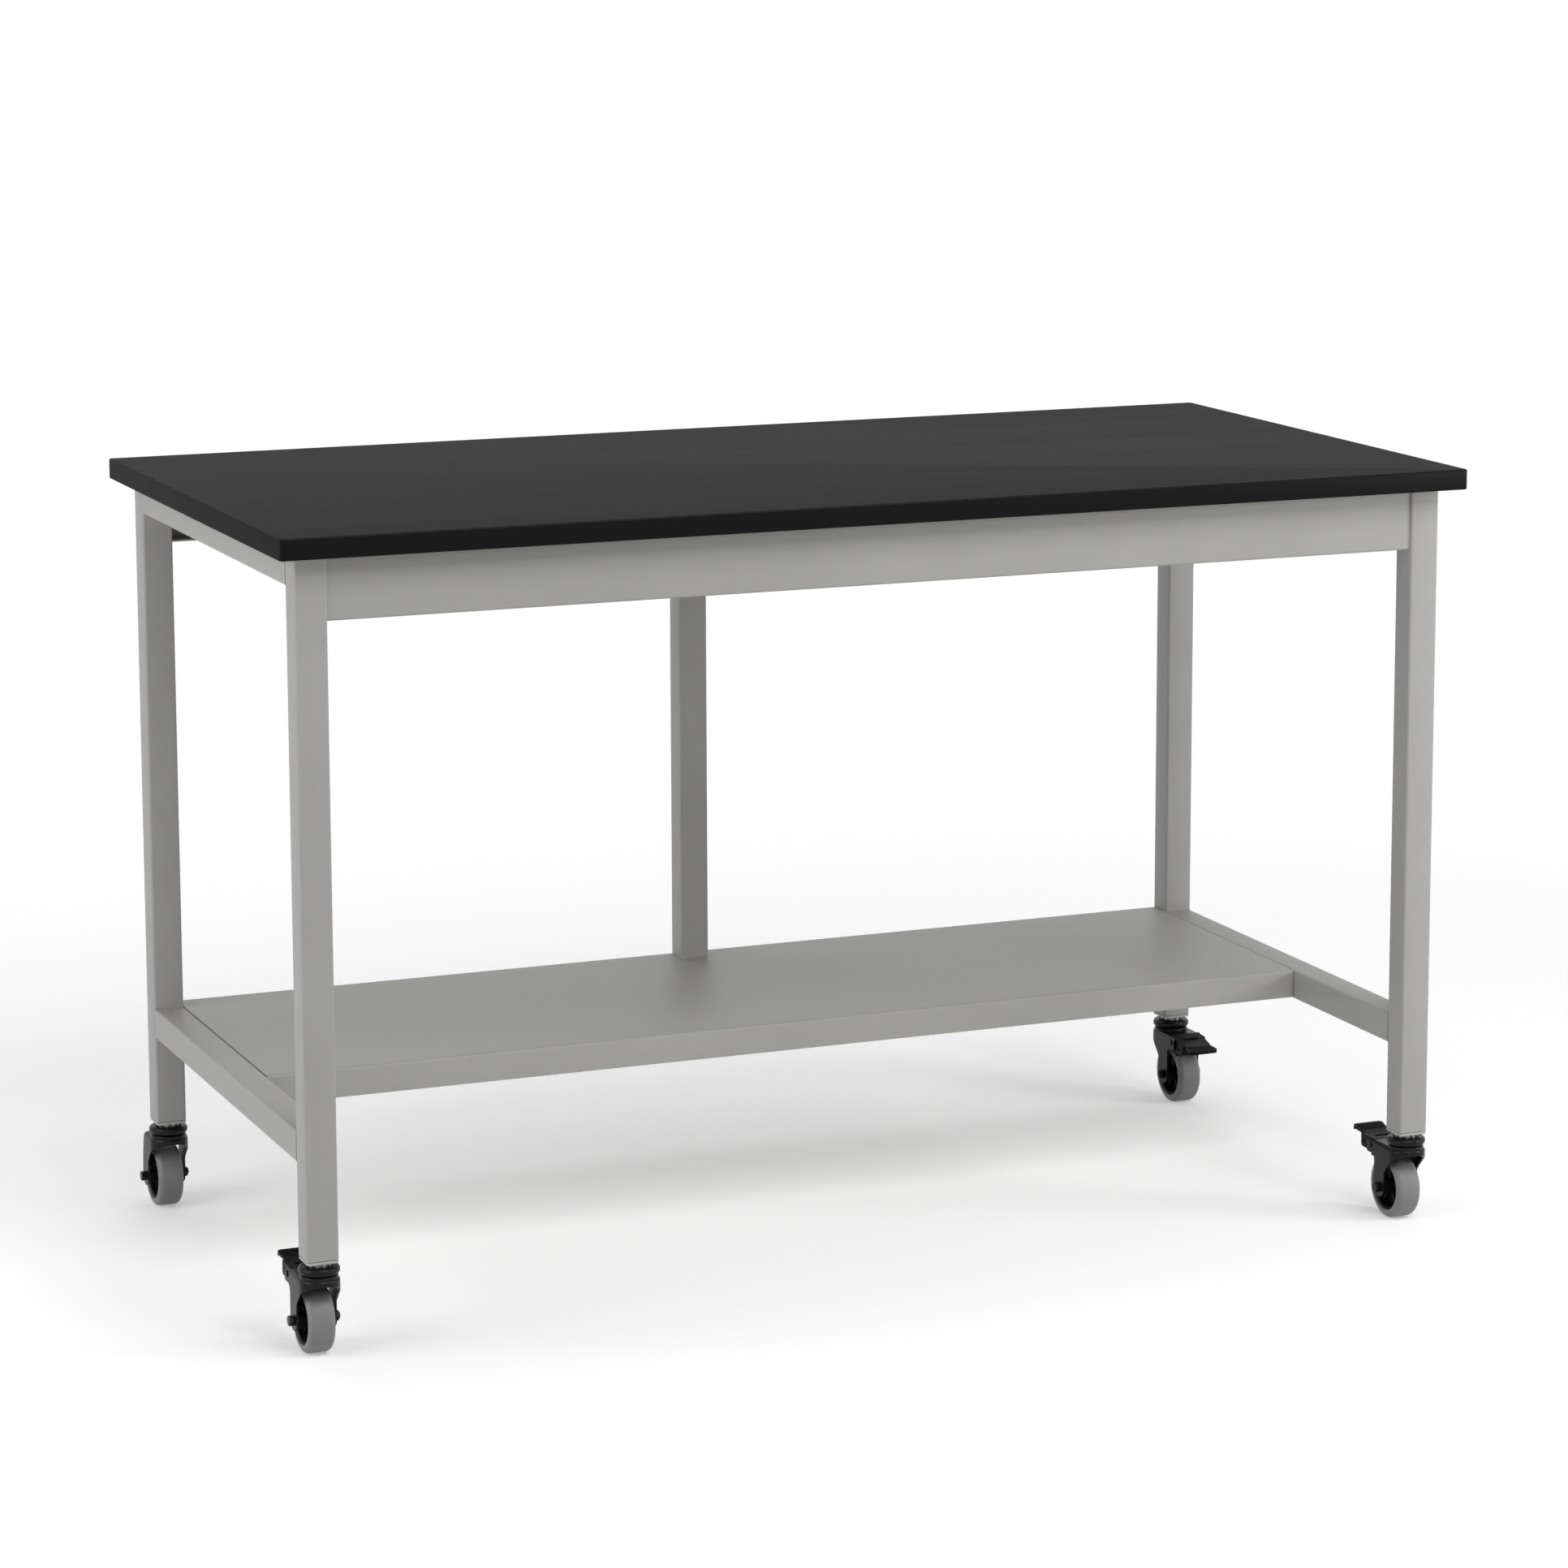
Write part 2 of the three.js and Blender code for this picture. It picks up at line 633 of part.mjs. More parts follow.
// The channel that hangs on the pin between the fork's cheeks
function pedalChannel() {
  const width = 2 * (FORK_INSIDE - PEDAL_SIDE_GAP);
  const front = CROWN_END + PEDAL_FRONT_GAP;
  const bottom = CROWN_TOP - PEDAL_LUG_DEPTH;
  const round = PEDAL_LUG_DEPTH / 2;
  const corner = PEDAL_LUG_CORNER;
  const side = new THREE.Shape();
  side.moveTo(PEDAL_HEEL, CROWN_TOP);
  side.lineTo(front, CROWN_TOP);
  side.absarc(front + round, bottom + round, round, Math.PI, 1.5 * Math.PI, false);
  side.absarc(PEDAL_HEEL - corner, bottom + corner, corner, -Math.PI / 2, 0, false);
  const inside = new THREE.BoxGeometry(
    width - 2 * PEDAL_SHEET,
    2 * (PEDAL_HEEL - front),
    2 * (PEDAL_LUG_DEPTH - PEDAL_SHEET),
  ).translate(0, PEDAL_HEEL, bottom);
  const slot = new THREE.BoxGeometry(PEDAL_SLOT_LENGTH, PEDAL_SLOT_WIDTH, 4 * PEDAL_SHEET);
  const hole = turnedX(rodProfile(PEDAL_LUG_HOLE_RADIUS, -FORK_RADIUS, FORK_RADIUS), SMALL_FACETS);
  return cut(
    alongX(side, width, 2),
    inside,
    slot.translate(0, PEDAL_SLOT_REACH, CROWN_TOP),
    hole.translate(0, PEDAL_LUG_HOLE_REACH, PIN_Z),
  );
}

// The ribbed plate that the foot presses, flaring to a thick lip
function pedalPlate() {
  const length = PLATE_TIP - PEDAL_HEEL + PLATE_LAP;
  const root = PLATE_ROOT_WIDTH / 2;
  const tip = PLATE_TIP_WIDTH / 2;
  const plan = new THREE.Shape();
  plan.moveTo(-root, 0);
  plan.lineTo(root, 0);
  plan.absarc(tip - PLATE_CORNER, length - PLATE_CORNER, PLATE_CORNER, 0, Math.PI / 2, false);
  plan.absarc(-tip + PLATE_CORNER, length - PLATE_CORNER, PLATE_CORNER, Math.PI / 2, Math.PI, false);
  const plate = alongZ(plan, PLATE_THICKNESS).translate(0, 0, -PLATE_THICKNESS);
  const lipBlock = new THREE.BoxGeometry(2 * PLATE_TIP_WIDTH, LIP_DEPTH, 4 * LIP_THICKNESS);
  const lip = common(
    alongZ(plan, LIP_THICKNESS).translate(0, 0, -LIP_THICKNESS),
    lipBlock.translate(0, length - LIP_DEPTH / 2, 0),
  );
  const ribs = Array.from({ length: RIB_COUNT }, (_, i) =>
    new THREE.BoxGeometry(PLATE_ROOT_WIDTH, RIB_WIDTH, 2 * RIB_HEIGHT).translate(
      0,
      length - LIP_DEPTH - i * RIB_PITCH,
      0,
    ),
  );
  return join(plate, lip, ...ribs)
    .rotateX(PLATE_RISE)
    .translate(0, PEDAL_HEEL - PLATE_LAP, CROWN_TOP);
}

// The shoe that bears on the tread when the pedal is pressed, drawn there and turned back to the raised pedal
function brakeShoe() {
  const pin = new THREE.Vector2(PIN_REACH, PIN_Z);
  const axle = new THREE.Vector2(TRAIL, AXLE_Z);
  const pad = [-SHOE_LENGTH / 2, SHOE_LENGTH / 2].map((along) =>
    new THREE.Vector2(along, facetCorner(WHEEL_RADIUS) + SHOE_GAP)
      .rotateAround(new THREE.Vector2(), -SHOE_ANGLE)
      .add(axle)
      .rotateAround(pin, PEDAL_TRAVEL),
  );
  const roof = CROWN_TOP - PEDAL_SHEET / 2;
  const side = new THREE.Shape([
    ...pad,
    new THREE.Vector2(PIN_REACH + SHOE_LENGTH / 2, roof),
    new THREE.Vector2(PIN_REACH - SHOE_LENGTH / 2, roof),
  ]);
  return alongX(side, SHOE_WIDTH);
}

// The whole pedal, raised, with its pin on the X axis
function pedalGeometry() {
  const body = join(pedalChannel(), pedalPlate(), brakeShoe());
  const pinHole = crossHole(PIN_RADIUS).translate(0, PIN_REACH, PIN_Z);
  return cut(body, pinHole).translate(0, -PIN_REACH, -PIN_Z);
}

// Assembly

const bench = new THREE.Group();

function place(parent, name, geometry, finish, x = 0, y = 0, z = 0) {
  const mesh = piece(name, geometry, finish);
  mesh.position.set(x, y, z);
  parent.add(mesh);
  return mesh;
}

function addCorner({ corner, x, y, heading, braked, pressed }) {
  place(bench, `leg_${corner}`, alongZ(tubeSection(), LEG_LENGTH), POWDER_COAT, x, y, LEG_FOOT);
  place(bench, `leg_cap_${corner}`, capGeometry(), CAP_GREY, x, y);
  place(bench, `stem_${corner}`, stemGeometry(), ZINC, x, y);
  place(bench, `lock_washer_${corner}`, washerGeometry(), ZINC, x, y);
  place(bench, `upper_race_${corner}`, raceGeometry(), BLACK_STEEL, x, y);

  const caster = new THREE.Group();
  caster.position.set(x, y, 0);
  caster.rotation.z = heading;
  bench.add(caster);
  place(caster, `fork_${corner}`, forkGeometry(braked), BLACK_STEEL);
  place(caster, `axle_bolt_${corner}`, boltGeometry(), BLACK_STEEL);
  place(caster, `axle_nut_${corner}`, nutGeometry(), BLACK_STEEL);
  place(caster, `axle_bush_${corner}`, bushGeometry(), ZINC);
  place(caster, `wheel_hub_${corner}`, hubGeometry(), BLACK_PLASTIC);
  place(caster, `tread_${corner}`, treadGeometry(), GREY_RUBBER);
  if (!braked) return;
  place(caster, `pedal_pin_${corner}`, pinGeometry(), BLACK_STEEL, 0, PIN_REACH, PIN_Z);
  const pedal = place(caster, `brake_pedal_${corner}`, pedalGeometry(), BLACK_PLASTIC, 0, PIN_REACH, PIN_Z);
  pedal.rotation.x = pressed ? -PEDAL_TRAVEL : 0;
}

const CORNERS = [
  { corner: "front_left", x: -LEG_X, y: -LEG_Y, heading: 0, braked: true, pressed: false },
  { corner: "front_right", x: LEG_X, y: -LEG_Y, heading: 0, braked: true, pressed: false },
  { corner: "back_left", x: -LEG_X, y: LEG_Y, heading: 0, braked: false, pressed: false },
  { corner: "back_right", x: LEG_X, y: LEG_Y, heading: Math.PI, braked: true, pressed: true },
];

place(bench, "worktop", worktopGeometry(), RESIN);
CORNERS.forEach(addCorner);
for (const [side, x] of [
  ["left", -LEG_X],
  ["right", LEG_X],
]) {
  place(bench, `upper_end_rail_${side}`, alongY(tubeSection(), CLEAR_DEPTH), POWDER_COAT, x, 0, UPPER_RAIL_Z);
  place(bench, `lower_end_rail_${side}`, alongY(tubeSection(), CLEAR_DEPTH), POWDER_COAT, x, 0, LOWER_RAIL_Z);
}
place(bench, "front_apron", apronGeometry(), POWDER_COAT);
place(bench, "rear_apron", apronGeometry(), POWDER_COAT).rotation.z = Math.PI;
place(bench, "shelf_pan", shelfGeometry(), POWDER_COAT);
place(bench, "shelf_stiffener", stiffenerGeometry(), POWDER_COAT);
const postLength = LEG_TOP - APRON_DEPTH - SHELF_TOP;
place(bench, "centre_post", alongZ(tubeSection(), postLength), POWDER_COAT, 0, LEG_Y, SHELF_TOP);

export default bench;
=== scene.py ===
"""Looks of a mobile laboratory bench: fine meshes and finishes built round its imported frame, in metres."""
import logging
import math
from collections.abc import Callable, Iterable, Sequence
from dataclasses import dataclass, field
from enum import Enum

import bmesh
import bpy
from bmesh.types import BMEdge, BMesh, BMVert
from bpy.types import Material, Node, NodeSocket, NodeTree, Object
from mathutils import Matrix, Vector


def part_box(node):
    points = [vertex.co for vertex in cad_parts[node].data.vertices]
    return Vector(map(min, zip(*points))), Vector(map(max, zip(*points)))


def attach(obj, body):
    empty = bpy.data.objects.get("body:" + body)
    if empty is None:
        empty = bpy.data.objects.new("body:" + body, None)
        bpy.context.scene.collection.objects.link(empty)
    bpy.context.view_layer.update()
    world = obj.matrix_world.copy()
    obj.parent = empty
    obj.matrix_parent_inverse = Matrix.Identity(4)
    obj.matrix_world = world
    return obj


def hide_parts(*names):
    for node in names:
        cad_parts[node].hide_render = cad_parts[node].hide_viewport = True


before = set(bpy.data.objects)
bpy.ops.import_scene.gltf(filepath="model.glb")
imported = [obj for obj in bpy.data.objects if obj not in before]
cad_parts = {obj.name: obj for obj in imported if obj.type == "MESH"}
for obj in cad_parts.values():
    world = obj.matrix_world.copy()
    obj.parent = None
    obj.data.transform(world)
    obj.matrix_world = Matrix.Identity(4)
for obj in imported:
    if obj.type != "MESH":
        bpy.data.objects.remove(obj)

LOG = logging.getLogger("lab_bench")
MM = 0.001
FRAME_BODY = "frame"
FACING = 0.9
PARALLEL = 0.999
WELD = 0.001 * MM
FLAT = math.radians(0.5)
SHARP = math.radians(60)
EASED = math.radians(40)
Colour = tuple[float, float, float]
Point = tuple[float, float]
Value = float | Colour | NodeSocket


class Slot(Enum):
    """Material slots of the part's record."""

    RESIN = "worktop_resin"
    PAINT = "powder_coat"
    CAP = "cap_plastic"
    ZINC = "zinc_steel"
    STEEL = "black_steel"
    PEDAL = "black_plastic"
    HUB = "hub_plastic"
    RUBBER = "tread_rubber"


class Axis(Enum):
    """Row axes that a section can run along, as a turn of the drawing plane."""

    X = Matrix(((0, 0, 1), (1, 0, 0), (0, 1, 0)))
    Y = Matrix(((1, 0, 0), (0, 0, 1), (0, 1, 0)))
    Z = Matrix.Identity(3)


class Boolean(Enum):
    """Ways to combine two closed shapes."""

    JOIN = "UNION"
    CUT = "DIFFERENCE"
    COMMON = "INTERSECT"


# Node groups shared by the finishes

MIDDLE_TONES = (0.3, 0.7)
SKIN_SHARE = 0.7
GRAINS_PER_CELL = 3.7
DRIFT_SHARE = 0.6
MOTTLE_TONES = (0.34, 0.66)
EDGE_TURN = (0.995, 0.86)
EDGE_SAMPLES = 4
RUB_CELLS = 420.0
RUB_TONES = (0.4, 0.62)
RUB_LEAST = 0.15


def grey(tone: float) -> Colour:
    """A neutral colour."""
    return (tone, tone, tone)


class Graph:
    """A shader node tree with short ways to add nodes and links."""

    def __init__(self, tree: NodeTree) -> None:
        """Wraps the node tree of a material, a world or a group."""
        self.tree = tree

    def add(self, kind: str, **values: Value) -> Node:
        """Adds a node and sets its sockets.

        Args:
            kind: the node's type without the ShaderNode prefix.
            values: socket names, with underscores for spaces, and a number, colour or socket for each.

        Returns:
            The new node.
        """
        node = self.tree.nodes.new("ShaderNode" + kind)
        for name, value in values.items():
            self.feed(node.inputs[name.replace("_", " ")], value)
        return node

    def group(self, tree: NodeTree, **values: Value) -> Node:
        """Places a node group and sets its sockets.

        Args:
            tree: the group.
            values: socket names and a number, colour or socket for each.

        Returns:
            The group's node.
        """
        node = self.add("Group")
        node.node_tree = tree
        for name, value in values.items():
            self.feed(node.inputs[name], value)
        return node

    def feed(self, socket: NodeSocket, value: Value) -> None:
        """Links a socket to another, or sets its own value.

        Args:
            socket: the input to feed.
            value: a number, colour or output socket.
        """
        if isinstance(value, NodeSocket):
            self.tree.links.new(value, socket)
        elif isinstance(value, tuple) and socket.type == "RGBA":
            socket.default_value = (*value, 1.0)
        else:
            socket.default_value = value

    def math(self, operation: str, first: Value, second: Value = 0.0) -> NodeSocket:
        """Adds a Math node.

        Args:
            operation: Blender's name of the operation.
            first: first number or socket.
            second: second number or socket.

        Returns:
            The result socket.
        """
        node = self.add("Math")
        node.operation = operation
        self.feed(node.inputs[0], first)
        self.feed(node.inputs[1], second)
        return node.outputs[0]

    def blend(self, first: Value, share: float, second: Value) -> NodeSocket:
        """Adds two values by shares that make one.

        Args:
            first: first number or socket.
            share: the first one's share.
            second: second number or socket.

        Returns:
            The result socket.
        """
        rest = round(1.0 - share, 6)
        return self.math("ADD", self.math("MULTIPLY", first, share), self.math("MULTIPLY", second, rest))

    def span(self, value: Value, low: float, high: float, start: float, end: float) -> NodeSocket:
        """Maps a value from one span to another, clamped.

        Args:
            value: number or socket to map.
            low: start of the first span.
            high: end of the first span.
            start: result at low.
            end: result at high.

        Returns:
            The result socket.
        """
        node = self.add("MapRange", Value=value, From_Min=low, From_Max=high, To_Min=start, To_Max=end)
        return node.outputs[0]

    def mix(self, share: Value, first: Value, second: Value) -> NodeSocket:
        """Mixes two colours.

        Args:
            share: how much of the second colour shows.
            first: colour or socket.
            second: colour or socket.

        Returns:
            The mixed colour's socket.
        """
        node = self.tree.nodes.new("ShaderNodeMix")
        node.data_type = "RGBA"
        sockets = {socket.identifier: socket for socket in node.inputs}
        self.feed(sockets["Factor_Float"], share)
        self.feed(sockets["A_Color"], first)
        self.feed(sockets["B_Color"], second)
        return next(socket for socket in node.outputs if socket.identifier == "Result_Color")

    def noise(self, vector: NodeSocket, scale: Value, detail: float, rough: float = 0.5) -> NodeSocket:
        """Adds a noise texture.

        Args:
            vector: place socket.
            scale: cells per metre.
            detail: octaves.
            rough: strength of the finer octaves.

        Returns:
            The noise value's socket, about 0 to 1.
        """
        node = self.add("TexNoise", Vector=vector, Scale=scale, Detail=detail, Roughness=rough)
        return node.outputs[0]


def node_group(
    name: str,
    inputs: Sequence[tuple[str, str, float | Colour | None]],
    outputs: Sequence[tuple[str, str]],
    fill: Callable[[Graph, Node, Node], None],
) -> NodeTree:
    """Makes a shader node group.

    Args:
        name: the group's name.
        inputs: name, socket kind and default of each input.
        outputs: name and socket kind of each output.
        fill: draws the nodes between the input and the output node.

    Returns:
        The group's tree.
    """
    tree = bpy.data.node_groups.new(name, "ShaderNodeTree")
    for socket_name, kind, default in inputs:
        socket = tree.interface.new_socket(socket_name, in_out="INPUT", socket_type="NodeSocket" + kind)
        if default is not None:
            socket.default_value = (*default, 1.0) if kind == "Color" else default
    for socket_name, kind in outputs:
        tree.interface.new_socket(socket_name, in_out="OUTPUT", socket_type="NodeSocket" + kind)
    fill(Graph(tree), tree.nodes.new("NodeGroupInput"), tree.nodes.new("NodeGroupOutput"))
    return tree


def fill_peel(graph: Graph, given: Node, out: Node) -> None:
    """Height of a sprayed or moulded skin: soft cells with a finer grain on them.

    Args:
        graph: the group's nodes.
        given: its input node.
        out: its output node.
    """
    place = given.outputs["Vector"]
    cells = graph.noise(place, given.outputs["Cells"], 1.0)
    grain = graph.noise(place, graph.math("MULTIPLY", given.outputs["Cells"], GRAINS_PER_CELL), 2.0)
    fine = graph.math("MULTIPLY", grain, given.outputs["Grain"])
    graph.feed(out.inputs["Height"], graph.math("ADD", cells, fine))
    graph.feed(out.inputs["Tone"], grain)


def fill_mottle(graph: Graph, given: Node, out: Node) -> None:
    """Slow colour drift across a piece with a fine speckle over it.

    Args:
        graph: the group's nodes.
        given: its input node.
        out: its output node.
    """
    place = given.outputs["Vector"]
    drift = graph.noise(place, given.outputs["Drift"], 3.0, 0.6)
    speck = graph.noise(place, given.outputs["Speck"], 2.0, 0.7)
    share = graph.span(graph.blend(drift, DRIFT_SHARE, speck), *MOTTLE_TONES, 0.0, 1.0)
    graph.feed(out.inputs["Color"], graph.mix(share, given.outputs["Dark"], given.outputs["Light"]))
    graph.feed(out.inputs["Tone"], share)


def fill_rub(graph: Graph, given: Node, out: Node) -> None:
    """Mask of edges that hands and floors rub, broken up by noise.

    Args:
        graph: the group's nodes.
        given: its input node.
        out: its output node.
    """
    rounded = graph.add("Bevel", Radius=given.outputs["Radius"])
    rounded.samples = EDGE_SAMPLES
    flat = graph.add("NewGeometry")
    dot = graph.add("VectorMath")
    dot.operation = "DOT_PRODUCT"
    graph.feed(dot.inputs[0], rounded.outputs[0])
    graph.feed(dot.inputs[1], flat.outputs["Normal"])
    edge = graph.span(dot.outputs["Value"], *EDGE_TURN, 0.0, 1.0)
    specks = graph.noise(given.outputs["Vector"], RUB_CELLS, 3.0, 0.6)
    broken = graph.span(specks, *RUB_TONES, RUB_LEAST, 1.0)
    worn = graph.math("MULTIPLY", edge, broken)
    graph.feed(out.inputs["Mask"], graph.math("MULTIPLY", worn, given.outputs["Amount"]))


class SharedGroups:
    """Node groups that several finishes place with their own values."""

    def __init__(self) -> None:
        """Builds each group once."""
        vector = ("Vector", "Vector", None)
        self.peel = node_group(
            "sprayed_skin",
            [vector, ("Cells", "Float", 700.0), ("Grain", "Float", 0.4)],
            [("Height", "Float"), ("Tone", "Float")],
            fill_peel,
        )
        self.mottle = node_group(
            "colour_drift",
            [
                vector,
                ("Drift", "Float", 6.0),
                ("Speck", "Float", 900.0),
                ("Dark", "Color", grey(0.1)),
                ("Light", "Color", grey(0.2)),
            ],
            [("Color", "Color"), ("Tone", "Float")],
            fill_mottle,
        )
        self.rub = node_group(
            "rubbed_edge",
            [vector, ("Radius", "Float", 0.001), ("Amount", "Float", 0.5)],
            [("Mask", "Float")],
            fill_rub,
        )


# Finishes


@dataclass(frozen=True)
class Finish:
    """A surface: two colours that drift into each other, a skin texture and a span of roughness."""

    slot: Slot
    dark: Colour
    light: Colour
    rough: Point
    cells: float = 700.0
    grain: float = 0.4
    bump: float = 0.1
    bump_depth: float = 0.1 * MM
    drift: float = 6.0
    speck: float = 900.0
    metallic: float = 0.0
    specular: float = 0.5
    coat_rough: float = 0.5
    worn: Colour = grey(0.2)
    wear: float = 0.0
    wear_radius: float = 0.8 * MM

    def material(self, groups: SharedGroups) -> Material:
        """Builds the material.

        Args:
            groups: the shared node groups.

        Returns:
            The finished material.
        """
        material = bpy.data.materials.new(self.slot.value)
        material.use_nodes = True
        material.node_tree.nodes.clear()
        graph = Graph(material.node_tree)
        place = graph.add("TexCoord").outputs["Object"]
        colour, tone = self.colour(graph, groups, place)
        skin = graph.group(groups.peel, Vector=place, Cells=self.cells, Grain=self.grain)
        bump = graph.add(
            "Bump", Strength=self.bump, Distance=self.bump_depth, Height=skin.outputs["Height"]
        )
        both = graph.blend(skin.outputs["Tone"], SKIN_SHARE, tone)
        shader = graph.add(
            "BsdfPrincipled",
            Base_Color=colour,
            Roughness=graph.span(both, *MIDDLE_TONES, *self.rough),
            Metallic=self.metallic,
            Specular_IOR_Level=self.specular,
            Coat_Weight=self.coat_weight(graph, place),
            Coat_Roughness=self.coat_rough,
            Normal=bump.outputs[0],
        )
        graph.add("OutputMaterial", Surface=shader.outputs[0])
        return material

    def colour(
        self, graph: Graph, groups: SharedGroups, place: NodeSocket
    ) -> tuple[NodeSocket, NodeSocket]:
        """Places the colour drift and, where the surface wears, its rubbed edges.

        Args:
            graph: the material's nodes.
            groups: the shared node groups.
            place: Object coordinates.

        Returns:
            Colour and tone sockets.
        """
        mottle = graph.group(
            groups.mottle, Vector=place, Drift=self.drift, Speck=self.speck, Dark=self.dark, Light=self.light
        )
        colour, tone = mottle.outputs["Color"], mottle.outputs["Tone"]
        if self.wear:
            rub = graph.group(groups.rub, Vector=place, Radius=self.wear_radius, Amount=self.wear)
            colour = graph.mix(rub.outputs["Mask"], colour, self.worn)
        return colour, tone

    def coat_weight(self, graph: Graph, place: NodeSocket) -> Value:
        """No coat, unless a finish has its own."""
        return 0.0


@dataclass(frozen=True)
class WipedResin(Finish):
    """Cast resin whose sheen varies in the long soft streaks that wiping leaves."""

    coat: Point = (0.183, 0.203)
    streak_across: float = 18.0
    streak_along: float = 1.6

    def coat_weight(self, graph: Graph, place: NodeSocket) -> Value:
        """A thin sheen in streaks along the bench.

        Args:
            graph: the material's nodes.
            place: Object coordinates.

        Returns:
            The coat weight's socket.
        """
        stretch = graph.add("Mapping", Vector=place)
        stretch.inputs["Scale"].default_value = (self.streak_along, self.streak_across, self.streak_across)
        streak = graph.noise(stretch.outputs[0], 1.0, 4.0, 0.6)
        return graph.span(streak, *MIDDLE_TONES, *self.coat)


@dataclass(frozen=True)
class PlatedZinc(Finish):
    """Zinc plate with a faint crystal spangle."""

    spangle: float = 900.0

    def colour(
        self, graph: Graph, groups: SharedGroups, place: NodeSocket
    ) -> tuple[NodeSocket, NodeSocket]:
        """Spangled colour.

        Args:
            graph: the material's nodes.
            groups: the shared node groups; not used here.
            place: Object coordinates.

        Returns:
            Colour and tone sockets.
        """
        cells = graph.add("TexVoronoi", Vector=place, Scale=self.spangle)
        tone = graph.add("SeparateColor", Color=cells.outputs["Color"]).outputs[0]
        return graph.mix(tone, self.dark, self.light), tone


FINISHES: tuple[Finish, ...] = (
    WipedResin(
        Slot.RESIN,
        dark=grey(0.003),
        light=grey(0.004),
        rough=(0.54, 0.6),
        cells=1400.0,
        grain=0.7,
        bump=0.12,
        drift=3.0,
        speck=1600.0,
        specular=0.0,
        coat_rough=0.36,
    ),
    Finish(
        Slot.PAINT,
        dark=(0.345, 0.341, 0.322),
        light=(0.385, 0.381, 0.361),
        rough=(0.42, 0.55),
        cells=650.0,
        bump=0.16,
        drift=5.0,
        speck=1100.0,
        specular=0.4,
    ),
    Finish(
        Slot.CAP,
        dark=(0.41, 0.41, 0.385),
        light=(0.46, 0.46, 0.435),
        rough=(0.45, 0.6),
        cells=1500.0,
        bump=0.12,
        specular=0.4,
    ),
    PlatedZinc(
        Slot.ZINC,
        dark=(0.17, 0.17, 0.165),
        light=(0.26, 0.26, 0.25),
        rough=(0.32, 0.48),
        cells=1800.0,
        bump=0.1,
        metallic=1.0,
    ),
    Finish(
        Slot.STEEL,
        dark=grey(0.004),
        light=grey(0.007),
        rough=(0.23, 0.33),
        cells=900.0,
        bump=0.14,
        speck=1500.0,
        specular=0.16,
        worn=(0.045, 0.045, 0.044),
        wear=0.4,
    ),
    Finish(
        Slot.PEDAL,
        dark=grey(0.004),
        light=grey(0.007),
        rough=(0.42, 0.58),
        specular=0.09,
        cells=2200.0,
        grain=0.8,
        bump=0.2,
        worn=grey(0.035),
        wear=0.4,
    ),
    Finish(
        Slot.HUB,
        dark=grey(0.004),
        light=grey(0.007),
        rough=(0.42, 0.58),
        specular=0.1,
        cells=2000.0,
        bump=0.12,
    ),
    Finish(
        Slot.RUBBER,
        dark=(0.195, 0.195, 0.194),
        light=(0.235, 0.235, 0.233),
        rough=(0.42, 0.58),
        cells=1200.0,
        grain=0.6,
        bump=0.14,
        drift=30.0,
        specular=0.4,
    ),
)


# Meshes


def arc(centre: Point, radius: float, start: float, end: float, steps: int) -> list[Point]:
    """Points of an arc.

    Args:
        centre: middle of the arc.
        radius: its radius.
        start: first angle in degrees.
        end: last angle in degrees.
        steps: number of chords.

    Returns:
        The points, both ends included.
    """
    angles = [math.radians(start + (end - start) * i / steps) for i in range(steps + 1)]
    return [(centre[0] + radius * math.cos(a), centre[1] + radius * math.sin(a)) for a in angles]


def curve(start: Point, control: Point, end: Point, steps: int) -> list[Point]:
    """Points of a quadratic curve.

    Args:
        start: first point.
        control: point that it leans to.
        end: last point.
        steps: number of chords.

    Returns:
        The points, both ends included.
    """
    points = []
    for i in range(steps + 1):
        t = i / steps
        weights = ((1 - t) ** 2, 2 * t * (1 - t), t**2)
        u = sum(w * p[0] for w, p in zip(weights, (start, control, end)))
        v = sum(w * p[1] for w, p in zip(weights, (start, control, end)))
        points.append((u, v))
    return points


def box(low: Vector, high: Vector) -> BMesh:
    """A closed box.

    Args:
        low: its lowest corner.
        high: its highest corner.

    Returns:
        The box's mesh.
    """
    bm = bmesh.new()
    place = Matrix.Translation((low + high) / 2) @ Matrix.Diagonal((*(high - low), 1.0))
    bmesh.ops.create_cube(bm, size=1.0, matrix=place)
    return bm


def prism(outline: Sequence[Point], axis: Axis, low: float, high: float) -> BMesh:
    """A closed prism of an outline.

    Args:
        outline: the section's points, in order.
        axis: the way that the section runs.
        low: where it starts along the axis.
        high: where it ends.

    Returns:
        The prism's mesh.
    """
    bm = bmesh.new()
    turn = axis.value
    face = bm.faces.new([bm.verts.new(turn @ Vector((u, v, low))) for u, v in outline])
    grown = bmesh.ops.extrude_face_region(bm, geom=[face])["geom"]
    verts = [item for item in grown if isinstance(item, BMVert)]
    bmesh.ops.translate(bm, verts=verts, vec=turn @ Vector((0, 0, high - low)))
    bmesh.ops.recalc_face_normals(bm, faces=bm.faces)
    return bm


